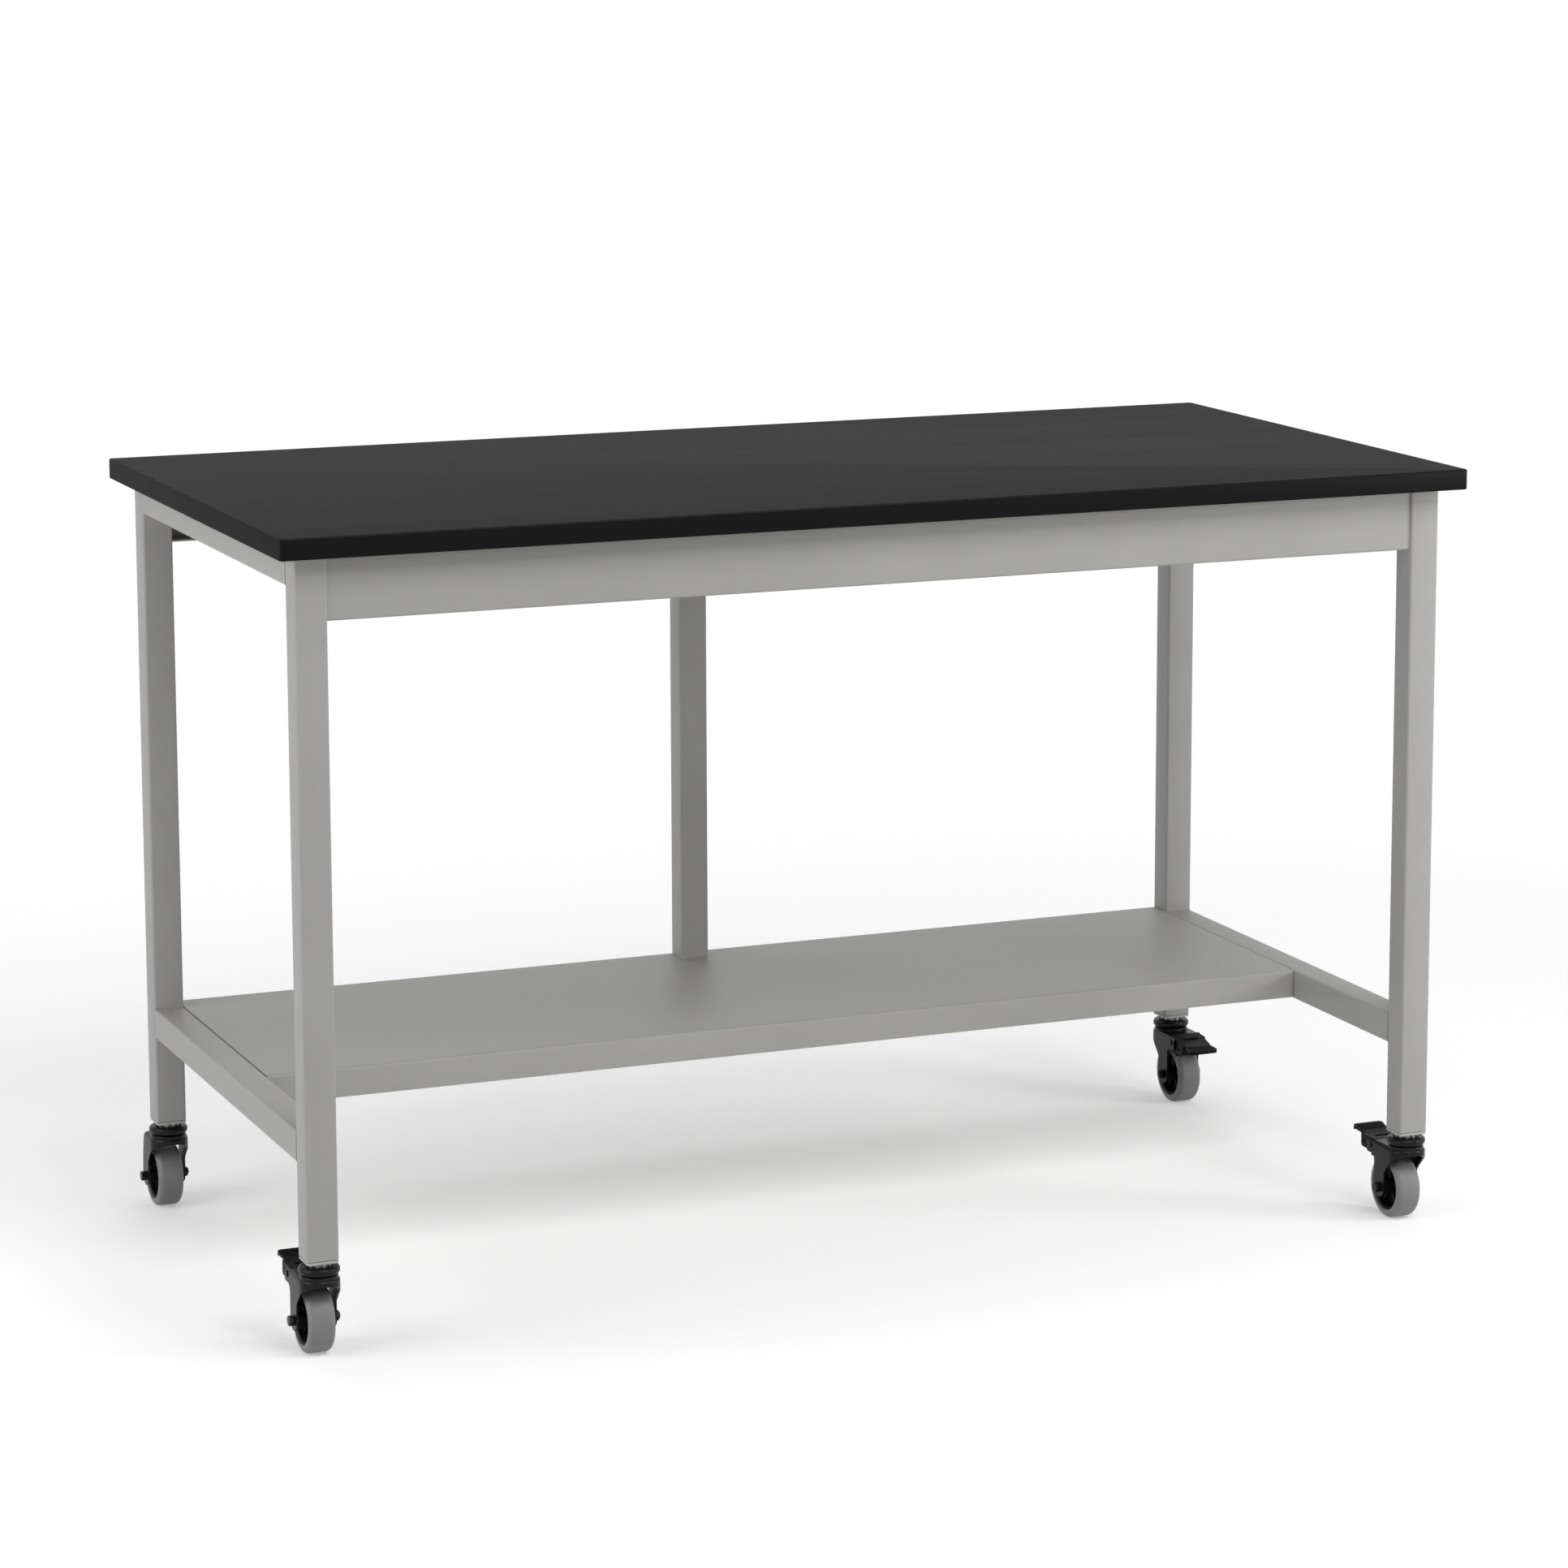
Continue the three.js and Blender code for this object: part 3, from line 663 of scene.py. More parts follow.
def turned(profile: Sequence[Point], axis: Axis, steps: int) -> BMesh:
    """A closed turned shape.

    Args:
        profile: radius and height points of a closed section, or of one that starts and ends on the axis.
        axis: the axis that it turns about.
        steps: facets round the axis.

    Returns:
        The turned mesh.
    """
    bm = bmesh.new()
    turn = axis.value
    verts = [bm.verts.new(turn @ Vector((radius, 0, height))) for radius, height in profile]
    edges = [bm.edges.new(pair) for pair in zip(verts, verts[1:])]
    if profile[0][0] > 0:
        edges.append(bm.edges.new((verts[-1], verts[0])))
    bmesh.ops.spin(
        bm,
        geom=[*verts, *edges],
        cent=(0, 0, 0),
        axis=turn @ Vector((0, 0, 1)),
        angle=2 * math.pi,
        steps=steps,
        use_merge=True,
    )
    bmesh.ops.remove_doubles(bm, verts=bm.verts, dist=WELD)
    bmesh.ops.recalc_face_normals(bm, faces=bm.faces)
    return bm


def rod(radius: float, low: float, high: float, steps: int) -> BMesh:
    """A closed rod along X."""
    return turned([(0, low), (radius, low), (radius, high), (0, high)], Axis.X, steps)


def moved(bm: BMesh, matrix: Matrix) -> BMesh:
    """The same mesh, moved by a matrix."""
    bmesh.ops.transform(bm, matrix=matrix, verts=bm.verts)
    return bm


def ease(bm: BMesh, edges: Iterable[BMEdge], width: float, segments: int) -> BMesh:
    """Rounds edges.

    Args:
        bm: the mesh.
        edges: the edges to round.
        width: the round's size.
        segments: facets across it.

    Returns:
        The same mesh.
    """
    bmesh.ops.bevel(
        bm,
        geom=list(edges),
        offset=width,
        offset_type="OFFSET",
        segments=segments,
        profile=0.5,
        affect="EDGES",
        clamp_overlap=True,
        material=-1,
    )
    return bm


def walled(bm: BMesh, wall: float, out: Vector | None = None) -> BMesh:
    """Gives an open sheet its thickness, inwards.

    Args:
        bm: the sheet, as its outer face.
        wall: its thickness.
        out: the way that its largest face looks, where the sheet isn't a tube.

    Returns:
        The same mesh, closed.
    """
    bmesh.ops.recalc_face_normals(bm, faces=bm.faces)
    if out and max(bm.faces, key=lambda f: f.calc_area()).normal.dot(out) < 0:
        bmesh.ops.reverse_faces(bm, faces=bm.faces)
    bmesh.ops.solidify(bm, geom=list(bm.faces), thickness=wall)
    bmesh.ops.recalc_face_normals(bm, faces=bm.faces)
    return bm


def along(bm: BMesh, axis: Axis) -> list[BMEdge]:
    """Edges that run along an axis."""
    way = axis.value @ Vector((0, 0, 1))
    return [e for e in bm.edges if abs((e.verts[1].co - e.verts[0].co).normalized().dot(way)) > PARALLEL]


def sharp(bm: BMesh, above: float = -math.inf) -> list[BMEdge]:
    """Edges whose two faces meet at more than the sharp angle.

    Args:
        bm: the mesh.
        above: the height that both ends lie over.

    Returns:
        The edges.
    """
    high = [e for e in bm.edges if min(v.co.z for v in e.verts) > above]
    return [e for e in high if len(e.link_faces) == 2 and e.calc_face_angle() > SHARP]


def combined(base: BMesh, tool: BMesh, way: Boolean) -> BMesh:
    """Joins or cuts two closed meshes, using both up.

    Args:
        base: the mesh to change.
        tool: the mesh that joins or cuts it.
        way: how they combine.

    Returns:
        The new mesh.
    """
    objects = []
    for bm in (base, tool):
        mesh = bpy.data.meshes.new("working")
        bm.to_mesh(mesh)
        bm.free()
        objects.append(bpy.data.objects.new("working", mesh))
        bpy.context.scene.collection.objects.link(objects[-1])
    modifier = objects[0].modifiers.new("combine", "BOOLEAN")
    modifier.operation = way.value
    modifier.object = objects[1]
    modifier.solver = "EXACT"
    result = bmesh.new()
    result.from_object(objects[0], bpy.context.evaluated_depsgraph_get())
    for obj in objects:
        mesh = obj.data
        bpy.data.objects.remove(obj)
        bpy.data.meshes.remove(mesh)
    bmesh.ops.remove_doubles(result, verts=result.verts, dist=WELD)
    bmesh.ops.dissolve_limit(result, angle_limit=FLAT, verts=result.verts, edges=result.edges)
    return result


def round_edges(piece: Object, width: float) -> None:
    """Finishes a piece's sharp edges with a small round.

    Args:
        piece: the object.
        width: the round's size.
    """
    modifier = piece.modifiers.new("eased_edges", "BEVEL")
    modifier.width = width
    modifier.segments = 2
    modifier.limit_method = "ANGLE"
    modifier.angle_limit = EASED
    modifier.harden_normals = True


@dataclass
class PieceMaker:
    """Turns meshes into pieces that ride on the frame."""

    materials: dict[Slot, Material]
    smooth: float = math.radians(32)

    def add(self, name: str, bm: BMesh, body: str, slot: Slot, *nodes: str) -> Object:
        """Adds a piece that stands for nodes of the frame.

        Args:
            name: the piece's name.
            bm: its mesh, in place; it is used up.
            body: the body that it rides on.
            slot: its finish.
            nodes: the nodes that it stands for.

        Returns:
            The new object.
        """
        mesh = bpy.data.meshes.new(name)
        bm.to_mesh(mesh)
        bm.free()
        mesh.polygons.foreach_set("use_smooth", [True] * len(mesh.polygons))
        mesh.set_sharp_from_angle(angle=self.smooth)
        mesh.materials.append(self.materials[slot])
        obj = bpy.data.objects.new(name, mesh)
        bpy.context.scene.collection.objects.link(obj)
        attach(obj, body)
        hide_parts(*nodes)
        LOG.info("%s: %d faces on %s", name, len(mesh.polygons), body)
        return obj


# Sub-assemblies


@dataclass(frozen=True)
class Corner:
    """A corner of the bench, with how its caster stands."""

    name: str
    trails_back: bool = True
    braked: bool = True
    pressed: bool = False

    def place(self) -> Matrix:
        """Finds the swivel axis under the corner's leg.

        Returns:
            The matrix from the caster's own frame, on its swivel axis, to the bench.
        """
        low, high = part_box(f"leg_{self.name}")
        middle = (low + high) / 2
        turn = Matrix.Identity(4) if self.trails_back else Matrix.Rotation(math.pi, 4, "Z")
        return Matrix.Translation((middle.x, middle.y, 0)) @ turn


CORNERS: tuple[Corner, ...] = (
    Corner("front_left"),
    Corner("front_right"),
    Corner("back_left", braked=False),
    Corner("back_right", trails_back=False, pressed=True),
)


@dataclass
class Worktop:
    """The resin slab."""

    corner: float = 4 * MM
    corner_steps: int = 6
    edge: float = 2 * MM
    edge_steps: int = 4

    def build(self, maker: PieceMaker) -> None:
        """Models the slab with rounded corners and eased edges.

        Args:
            maker: makes the piece.
        """
        bm = box(*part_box("worktop"))
        ease(bm, along(bm, Axis.Z), self.corner, self.corner_steps)
        ease(bm, sharp(bm), self.edge, self.edge_steps)
        maker.add("resin_slab", bm, FRAME_BODY, Slot.RESIN, "worktop")


@dataclass
class TubeFrame:
    """Square tubes, folded aprons and the centre post."""

    wall: float = 2 * MM
    corner: float = 3 * MM
    sheet: float = 2 * MM
    fold: float = 3.2 * MM
    corner_steps: int = 5

    def tube(self, node: str, axis: Axis) -> BMesh:
        """An open square tube in a node's box.

        Args:
            node: the node whose box it fills.
            axis: the way that it runs.

        Returns:
            The tube's mesh.
        """
        bm = box(*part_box(node))
        way = axis.value @ Vector((0, 0, 1))
        ends = [f for f in bm.faces if abs(f.normal.dot(way)) > FACING]
        bmesh.ops.delete(bm, geom=ends, context="FACES_ONLY")
        ease(bm, along(bm, axis), self.corner, self.corner_steps)
        return walled(bm, self.wall)

    def apron(self, node: str, out: Vector) -> BMesh:
        """A folded channel in a node's box.

        Args:
            node: the node whose box it fills.
            out: the way that its web faces.

        Returns:
            The channel's mesh.
        """
        bm = box(*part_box(node))
        ends = [f for f in bm.faces if abs(f.normal.x) > FACING or f.normal.dot(out) < -FACING]
        bmesh.ops.delete(bm, geom=ends, context="FACES_ONLY")
        folds = [e for e in along(bm, Axis.X) if len(e.link_faces) == 2]
        ease(bm, folds, self.fold, self.corner_steps)
        return walled(bm, self.sheet, out)

    def build(self, maker: PieceMaker) -> None:
        """Models every tube and apron.

        Args:
            maker: makes the pieces.
        """
        for side in ("left", "right"):
            for level in ("upper", "lower"):
                node = f"{level}_end_rail_{side}"
                maker.add(f"{level}_rail_tube_{side}", self.tube(node, Axis.Y), FRAME_BODY, Slot.PAINT, node)
        for place, out in (("front", -1.0), ("rear", 1.0)):
            node = f"{place}_apron"
            channel = self.apron(node, Vector((0, out, 0)))
            maker.add(f"{place}_channel", channel, FRAME_BODY, Slot.PAINT, node)
        maker.add("post_tube", self.tube("centre_post", Axis.Z), FRAME_BODY, Slot.PAINT, "centre_post")
        for corner in CORNERS:
            node = f"leg_{corner.name}"
            maker.add(f"leg_tube_{corner.name}", self.tube(node, Axis.Z), FRAME_BODY, Slot.PAINT, node)


@dataclass
class Shelf:
    """The folded pan and the hat channel under it."""

    sheet: float = 1.5 * MM
    fold: float = 3 * MM
    hem: float = 12 * MM
    hat_width: float = 50 * MM
    fold_steps: int = 5

    def pan(self) -> BMesh:
        """The pan: deck, four lips, and hems turned in under the long lips.

        Returns:
            The pan's mesh.
        """
        low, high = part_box("shelf_pan")
        bm = box(low, high)
        floor = [f for f in bm.faces if f.normal.z < -FACING]
        bmesh.ops.delete(bm, geom=floor, context="FACES_ONLY")
        long_edges = along(bm, Axis.X)
        hems = [e for e in long_edges if e.verts[0].co.z < low.z + self.sheet]
        folds = [e for e in long_edges if e.verts[0].co.z > low.z + self.sheet]
        grown = bmesh.ops.extrude_edge_only(bm, edges=hems)["geom"]
        for vert in (item for item in grown if isinstance(item, BMVert)):
            inward = 1.0 if vert.co.y < (low.y + high.y) / 2 else -1.0
            bmesh.ops.translate(bm, verts=[vert], vec=(0, inward * (self.sheet + self.hem), 0))
        ease(bm, folds, self.fold, self.fold_steps)
        return walled(bm, self.sheet, Vector((0, 0, 1)))

    def hat(self) -> BMesh:
        """The hat channel, as a folded strip with thickness.

        Returns:
            The channel's mesh.
        """
        low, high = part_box("shelf_stiffener")
        middle = (low.y + high.y) / 2
        half = self.hat_width / 2
        bend = self.sheet
        section = [
            (low.y, high.z),
            (low.y, high.z - bend),
            (middle - half, high.z - bend),
            (middle - half, low.z),
            (middle + half, low.z),
            (middle + half, high.z - bend),
            (high.y, high.z - bend),
            (high.y, high.z),
            (middle + half - bend, high.z),
            (middle + half - bend, low.z + bend),
            (middle - half + bend, low.z + bend),
            (middle - half + bend, high.z),
        ]
        bm = prism(section, Axis.X, low.x, high.x)
        outer = [e for e in along(bm, Axis.X) if abs(e.verts[0].co.z - low.z) < bend / 2]
        return ease(bm, outer, bend, self.fold_steps)

    def build(self, maker: PieceMaker) -> None:
        """Models the pan and its stiffener."""
        maker.add("folded_pan", self.pan(), FRAME_BODY, Slot.PAINT, "shelf_pan")
        maker.add("hat_channel", self.hat(), FRAME_BODY, Slot.PAINT, "shelf_stiffener")


@dataclass
class LegFoot:
    """The cap under a leg, the caster's toothed washer and its upper race."""

    cap_round: float = 0.4 * MM
    cap_round_steps: int = 3
    cap_corner: float = 3 * MM
    cap_corner_steps: int = 5
    seam: float = 0.9 * MM
    inset: float = 0.2 * MM
    spigot_inset: float = 2.4 * MM
    stem_radius: float = 6.3 * MM
    teeth: int = 12
    tooth_share: float = 0.5
    tooth_steps: int = 3
    tooth_round: float = 0.5 * MM
    tooth_round_steps: int = 2
    notch: float = 2 * MM
    notch_shares: Point = (0.6, 0.9)
    notch_steps: int = 2
    race_round: float = 4.5 * MM
    race_round_steps: int = 8
    race_seat: float = 1.2 * MM
    seat_gap: float = 0.3 * MM
    steps: int = 64

    def cap(self, corner: Corner) -> BMesh:
        """The plate of the cap, a little inside the tube's faces, with its spigot.

        Args:
            corner: where it is.

        Returns:
            The cap's mesh.
        """
        low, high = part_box(f"leg_cap_{corner.name}")
        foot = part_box(f"leg_{corner.name}")[0].z
        inset = Vector((self.inset, self.inset, 0))
        plate = box(low + inset, Vector((high.x, high.y, foot - self.seam)) - inset)
        ease(plate, along(plate, Axis.Z), self.cap_corner, self.cap_corner_steps)
        ease(plate, sharp(plate), self.cap_round, self.cap_round_steps)
        wall = Vector((self.spigot_inset, self.spigot_inset, 0))
        spigot = box(Vector((low.x, low.y, foot - 2 * self.seam)) + wall, high - wall)
        return combined(plate, spigot, Boolean.JOIN)

    def washer(self, corner: Corner) -> BMesh:
        """The toothed lock washer.

        Args:
            corner: where it is.

        Returns:
            The washer's mesh.
        """
        low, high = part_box(f"lock_washer_{corner.name}")
        radius = (high.x - low.x) / 2
        step = 360 / self.teeth
        start, end = self.notch_shares
        rim: list[Point] = []
        for tooth in range(self.teeth):
            tip = tooth + self.tooth_share
            rim += arc((0, 0), radius, tooth * step, tip * step, self.tooth_steps)
            root = radius - self.notch
            rim += arc((0, 0), root, (tooth + start) * step, (tooth + end) * step, self.notch_steps)
        bm = prism(rim, Axis.Z, low.z, high.z)
        upright = set(along(bm, Axis.Z))
        ease(bm, [e for e in sharp(bm) if e not in upright], self.tooth_round, self.tooth_round_steps)
        return moved(bm, corner.place())

    def race(self, corner: Corner) -> BMesh:
        """The ring of the upper race, round at its rim.

        Args:
            corner: where it is.

        Returns:
            The race's mesh.
        """
        low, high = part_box(f"upper_race_{corner.name}")
        washer_low, washer_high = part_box(f"lock_washer_{corner.name}")
        middle = (high.x - low.x) / 2 - self.race_round
        seat = (washer_high.x - washer_low.x) / 2 + self.seat_gap
        floor = high.z - self.race_seat
        steps = self.race_round_steps
        profile = [
            (self.stem_radius, low.z),
            *arc((middle, low.z + self.race_round), self.race_round, -90, 0, steps),
            *arc((middle, high.z - self.race_round), self.race_round, 0, 90, steps),
            (seat, floor),
            (self.stem_radius, floor),
        ]
        return moved(turned(profile, Axis.Z, self.steps), corner.place())

    def build(self, maker: PieceMaker) -> None:
        """Models the foot of every leg.

        Args:
            maker: makes the pieces.
        """
        for corner in CORNERS:
            name = corner.name
            maker.add(f"cap_plate_{name}", self.cap(corner), FRAME_BODY, Slot.CAP, f"leg_cap_{name}")
            washer = self.washer(corner)
            maker.add(f"toothed_washer_{name}", washer, FRAME_BODY, Slot.ZINC, f"lock_washer_{name}")
            maker.add(f"race_ring_{name}", self.race(corner), FRAME_BODY, Slot.STEEL, f"upper_race_{name}")


@dataclass
class Wheel:
    """Tread, hub and axle fittings of a caster."""

    radius: float = 40 * MM
    width: float = 32 * MM
    tread_depth: float = 9.5 * MM
    shoulder: float = 6.5 * MM
    shoulder_steps: int = 12
    gap: float = 0.3 * MM
    rim: float = 3 * MM
    rim_inset: float = 3 * MM
    web: float = 5 * MM
    boss: float = 10 * MM
    boss_length: float = 40 * MM
    bore: float = 6.6 * MM
    ribs: int = 5
    rib: float = 3 * MM
    rib_inset: float = 5 * MM
    axle: float = 4 * MM
    head: float = 6.5 * MM
    head_height: float = 6 * MM
    head_face: float = 0.9
    head_girth: float = 1.05
    head_chamfer: float = 1 * MM
    nut_height: float = 5 * MM
    tail: float = 1.5 * MM
    tail_chamfer: float = 0.6 * MM
    margin: float = 1 * MM
    edge: float = 0.3 * MM
    steps: int = 96
    head_steps: int = 48
    axle_steps: int = 32

    def tread(self) -> BMesh:
        """The tread's round-shouldered section, turned about the axle.

        Returns:
            The tread's mesh.
        """
        half = self.width / 2
        bore = self.radius - self.tread_depth
        middle = self.radius - self.shoulder
        profile = [
            (bore, -half),
            *arc((middle, -half + self.shoulder), self.shoulder, -90, 0, self.shoulder_steps),
            *arc((middle, half - self.shoulder), self.shoulder, 0, 90, self.shoulder_steps),
            (bore, half),
        ]
        return turned(profile, Axis.X, self.steps)

    def hub(self) -> BMesh:
        """The moulded hub with ribs on both sides of its web.

        Returns:
            The hub's mesh.
        """
        outer = self.radius - self.tread_depth - self.gap
        inner = outer - self.rim
        rim_half = self.width / 2 - self.rim_inset
        half = [
            (self.bore, self.boss_length / 2),
            (self.boss, self.boss_length / 2),
            (self.boss, self.web / 2),
            (inner, self.web / 2),
            (inner, rim_half),
            (outer, rim_half),
        ]
        bm = turned([(r, -x) for r, x in half] + half[::-1], Axis.X, self.steps)
        high = Vector((rim_half - self.rib_inset, self.rib / 2, (inner + outer) / 2))
        low = Vector((-high.x, -high.y, (self.bore + self.boss) / 2))
        for i in range(self.ribs):
            rib = moved(box(low, high), Matrix.Rotation(2 * math.pi * i / self.ribs, 4, "X"))
            bm = combined(bm, rib, Boolean.JOIN)
        return bm

    def hexagon(self, low: float, high: float) -> BMesh:
        """A hexagon along X with its outer corners chamfered round.

        Args:
            low: where it starts.
            high: where it ends.

        Returns:
            The hexagon's mesh.
        """
        bm = prism(arc((0, 0), self.head, 0, 300, 5), Axis.X, low, high)
        face, girth = self.head * self.head_face, self.head * self.head_girth
        profile = [
            (0, low),
            (face, low),
            (girth, low + self.head_chamfer),
            (girth, high - self.head_chamfer),
            (face, high),
            (0, high),
        ]
        return combined(bm, turned(profile, Axis.X, self.head_steps), Boolean.COMMON)

    def bolt(self, seat: float) -> BMesh:
        """The axle bolt: head, shank and tail.

        Args:
            seat: how far the fork's outer faces are from the middle.

        Returns:
            The bolt's mesh.
        """
        head = self.hexagon(-seat - self.head_height, -seat)
        start = -seat - self.head_height / 2
        end = seat + self.nut_height + self.tail
        profile = [
            (0, start),
            (self.axle, start),
            (self.axle, end - self.tail_chamfer),
            (self.axle - self.tail_chamfer, end),
            (0, end),
        ]
        return combined(head, turned(profile, Axis.X, self.axle_steps), Boolean.JOIN)

    def nut(self, seat: float) -> BMesh:
        """The axle nut with its bore.

        Args:
            seat: how far the fork's outer faces are from the middle.

        Returns:
            The nut's mesh.
        """
        body = self.hexagon(seat, seat + self.nut_height)
        low, high = seat - self.margin, seat + self.nut_height + self.margin
        return combined(body, rod(self.axle + self.gap, low, high, self.axle_steps), Boolean.CUT)

    def bush(self, half: float) -> BMesh:
        """The sleeve on the axle.

        Args:
            half: half of its length.

        Returns:
            The sleeve's mesh.
        """
        inner, outer = self.axle + self.gap, self.bore - self.gap
        profile = [(inner, -half), (outer, -half), (outer, half), (inner, half)]
        return turned(profile, Axis.X, self.axle_steps)

    def build(self, maker: PieceMaker, corner: Corner, caster: "Caster") -> None:
        """Adds the wheel and its axle fittings at a corner.

        Args:
            maker: makes the pieces.
            corner: where they go.
            caster: the caster that carries them.
        """
        place = corner.place() @ Matrix.Translation((0, caster.trail, caster.axle_height))
        seat = caster.half_width + self.gap
        bush = self.bush(caster.half_width - caster.sheet - self.gap)
        made = (
            ("tread_ring", "wheel", "tread", self.tread(), Slot.RUBBER),
            ("moulded_hub", "wheel", "wheel_hub", self.hub(), Slot.HUB),
            ("hex_bolt", "caster", "axle_bolt", self.bolt(seat), Slot.STEEL),
            ("hex_nut", "caster", "axle_nut", self.nut(seat), Slot.STEEL),
            ("bush_sleeve", "caster", "axle_bush", bush, Slot.ZINC),
        )
        for *kinds, bm, slot in made:
            name, body, node = (f"{kind}_{corner.name}" for kind in kinds)
            piece = maker.add(name, moved(bm, place), body, slot, node)
            if slot is not Slot.RUBBER:
                round_edges(piece, self.edge)


@dataclass
class BrakePedal:
    """The foot pedal with its channel, ribbed plate and brake shoe."""

    travel: float = math.radians(15)
    pin_reach: float = 49 * MM
    pin_drop: float = 8 * MM
    pin: float = 3 * MM
    pin_head: float = 4 * MM
    pin_head_height: float = 1.2 * MM
    pin_chamfer: Point = (0.5 * MM, 0.4 * MM)
    pin_steps: int = 32
    sheet: float = 2.5 * MM
    side_gap: float = 0.5 * MM
    front_gap: float = 2 * MM
    heel: float = 78 * MM
    lug_depth: float = 17 * MM
    lug_corner: float = 5 * MM
    nose_steps: int = 10
    corner_steps: int = 8
    lug_hole: float = 2 * MM
    lug_hole_reach: float = 70 * MM
    lug_hole_steps: int = 20
    slot_length: float = 24 * MM
    slot_width: float = 7 * MM
    slot_reach: float = 58 * MM
    tip: float = 103 * MM
    lap: float = 6 * MM
    rise: float = math.radians(10)
    plate: float = 3.5 * MM
    root_width: float = 34 * MM
    tip_width: float = 42 * MM
    plate_corner: float = 5 * MM
    lip_depth: float = 6 * MM
    lip: float = 5 * MM
    ribs: int = 4
    rib_pitch: float = 4 * MM
    rib_width: float = 1.8 * MM
    rib_height: float = 1 * MM
    rib_round: float = 0.6 * MM
    rib_steps: int = 3
    shoe_width: float = 36 * MM
    shoe_length: float = 9 * MM
    shoe_angle: float = math.radians(35)
    shoe_gap: float = 0.9 * MM
    edge: float = 0.5 * MM
    past: float = 100 * MM

    def channel(self, caster: "Caster") -> BMesh:
        """The channel that hangs on the pin between the fork's cheeks.

        Args:
            caster: the caster that carries it.

        Returns:
            The channel's mesh.
        """
        half = caster.half_width - caster.sheet - self.side_gap
        front = caster.crown_end + self.front_gap
        top = caster.crown
        bottom = top - self.lug_depth
        nose = self.lug_depth / 2
        corner = self.lug_corner
        side = [
            (self.heel, top),
            (front, top),
            *arc((front + nose, bottom + nose), nose, 180, 270, self.nose_steps),
            *arc((self.heel - corner, bottom + corner), corner, -90, 0, self.corner_steps),
        ]
        body = prism(side, Axis.X, -half, half)
        hollow = half - self.sheet
        low = Vector((-hollow, front, bottom - nose))
        body = combined(body, box(low, Vector((hollow, 2 * self.heel, top - self.sheet))), Boolean.CUT)
        reach = Vector((self.slot_length / 2, self.slot_width / 2, 2 * self.sheet))
        middle = Vector((0, self.slot_reach, top))
        body = combined(body, box(middle - reach, middle + reach), Boolean.CUT)
        hole = rod(self.lug_hole, -self.past, self.past, self.lug_hole_steps)
        place = Matrix.Translation((0, self.lug_hole_reach, top - self.pin_drop))
        return combined(body, moved(hole, place), Boolean.CUT)

    def foot_plate(self, caster: "Caster") -> BMesh:
        """The ribbed plate that flares to a thick lip.

        Args:
            caster: the caster that carries it.

        Returns:
            The plate's mesh.
        """
        length = self.tip - self.heel + self.lap
        root, tip = self.root_width / 2, self.tip_width / 2
        corner = self.plate_corner
        plan = [
            (-root, 0),
            (root, 0),
            *arc((tip - corner, length - corner), corner, 0, 90, self.corner_steps),
            *arc((-tip + corner, length - corner), corner, 90, 180, self.corner_steps),
        ]
        body = prism(plan, Axis.Z, -self.plate, 0)
        lip = prism(plan, Axis.Z, -self.lip, 0)
        keep = box(Vector((-tip, length - self.lip_depth, -self.past)), Vector((tip, 2 * length, self.past)))
        body = combined(body, combined(lip, keep, Boolean.COMMON), Boolean.JOIN)
        for i in range(self.ribs):
            y = length - self.lip_depth - i * self.rib_pitch
            low = Vector((-root, y - self.rib_width / 2, -self.rib_height))
            rib = box(low, Vector((root, y + self.rib_width / 2, self.rib_height)))
            upper = [e for e in along(rib, Axis.X) if e.verts[0].co.z > 0]
            ease(rib, upper, self.rib_round, self.rib_steps)
            body = combined(body, rib, Boolean.JOIN)
        lift = Matrix.Translation((0, self.heel - self.lap, caster.crown))
        return moved(body, lift @ Matrix.Rotation(self.rise, 4, "X"))

    def shoe(self, caster: "Caster") -> BMesh:
        """The shoe that bears on the tread when the pedal is pressed.

        Args:
            caster: the caster that carries it.

        Returns:
            The shoe's mesh, with the pedal released.
        """
        pin = Vector((self.pin_reach, caster.crown - self.pin_drop))
        axle = Vector((caster.trail, caster.axle_height))
        down = Matrix.Rotation(-self.shoe_angle, 2)
        release = Matrix.Rotation(self.travel, 2)
        half = self.shoe_length / 2
        outline: list[Point] = []
        for end in (-half, half):
            pad = down @ Vector((end, caster.wheel.radius + self.shoe_gap)) + axle
            outline.append(tuple(release @ (pad - pin) + pin))
        roof = caster.crown - self.sheet / 2
        outline += [(self.pin_reach + half, roof), (self.pin_reach - half, roof)]
        return prism(outline, Axis.X, -self.shoe_width / 2, self.shoe_width / 2)

    def rivet(self, seat: float) -> BMesh:
        """The pin that the pedal hangs on, with a head at each end.

        Args:
            seat: how far the fork's outer faces are from the middle.

        Returns:
            The pin's mesh.
        """
        head = seat + self.pin_head_height
        inward, under = self.pin_chamfer
        half = [
            (self.pin, 0),
            (self.pin, seat),
            (self.pin_head, seat),
            (self.pin_head, head - under),
            (self.pin_head - inward, head),
            (0, head),
        ]
        return turned([(r, -x) for r, x in reversed(half)] + half[1:], Axis.X, self.pin_steps)

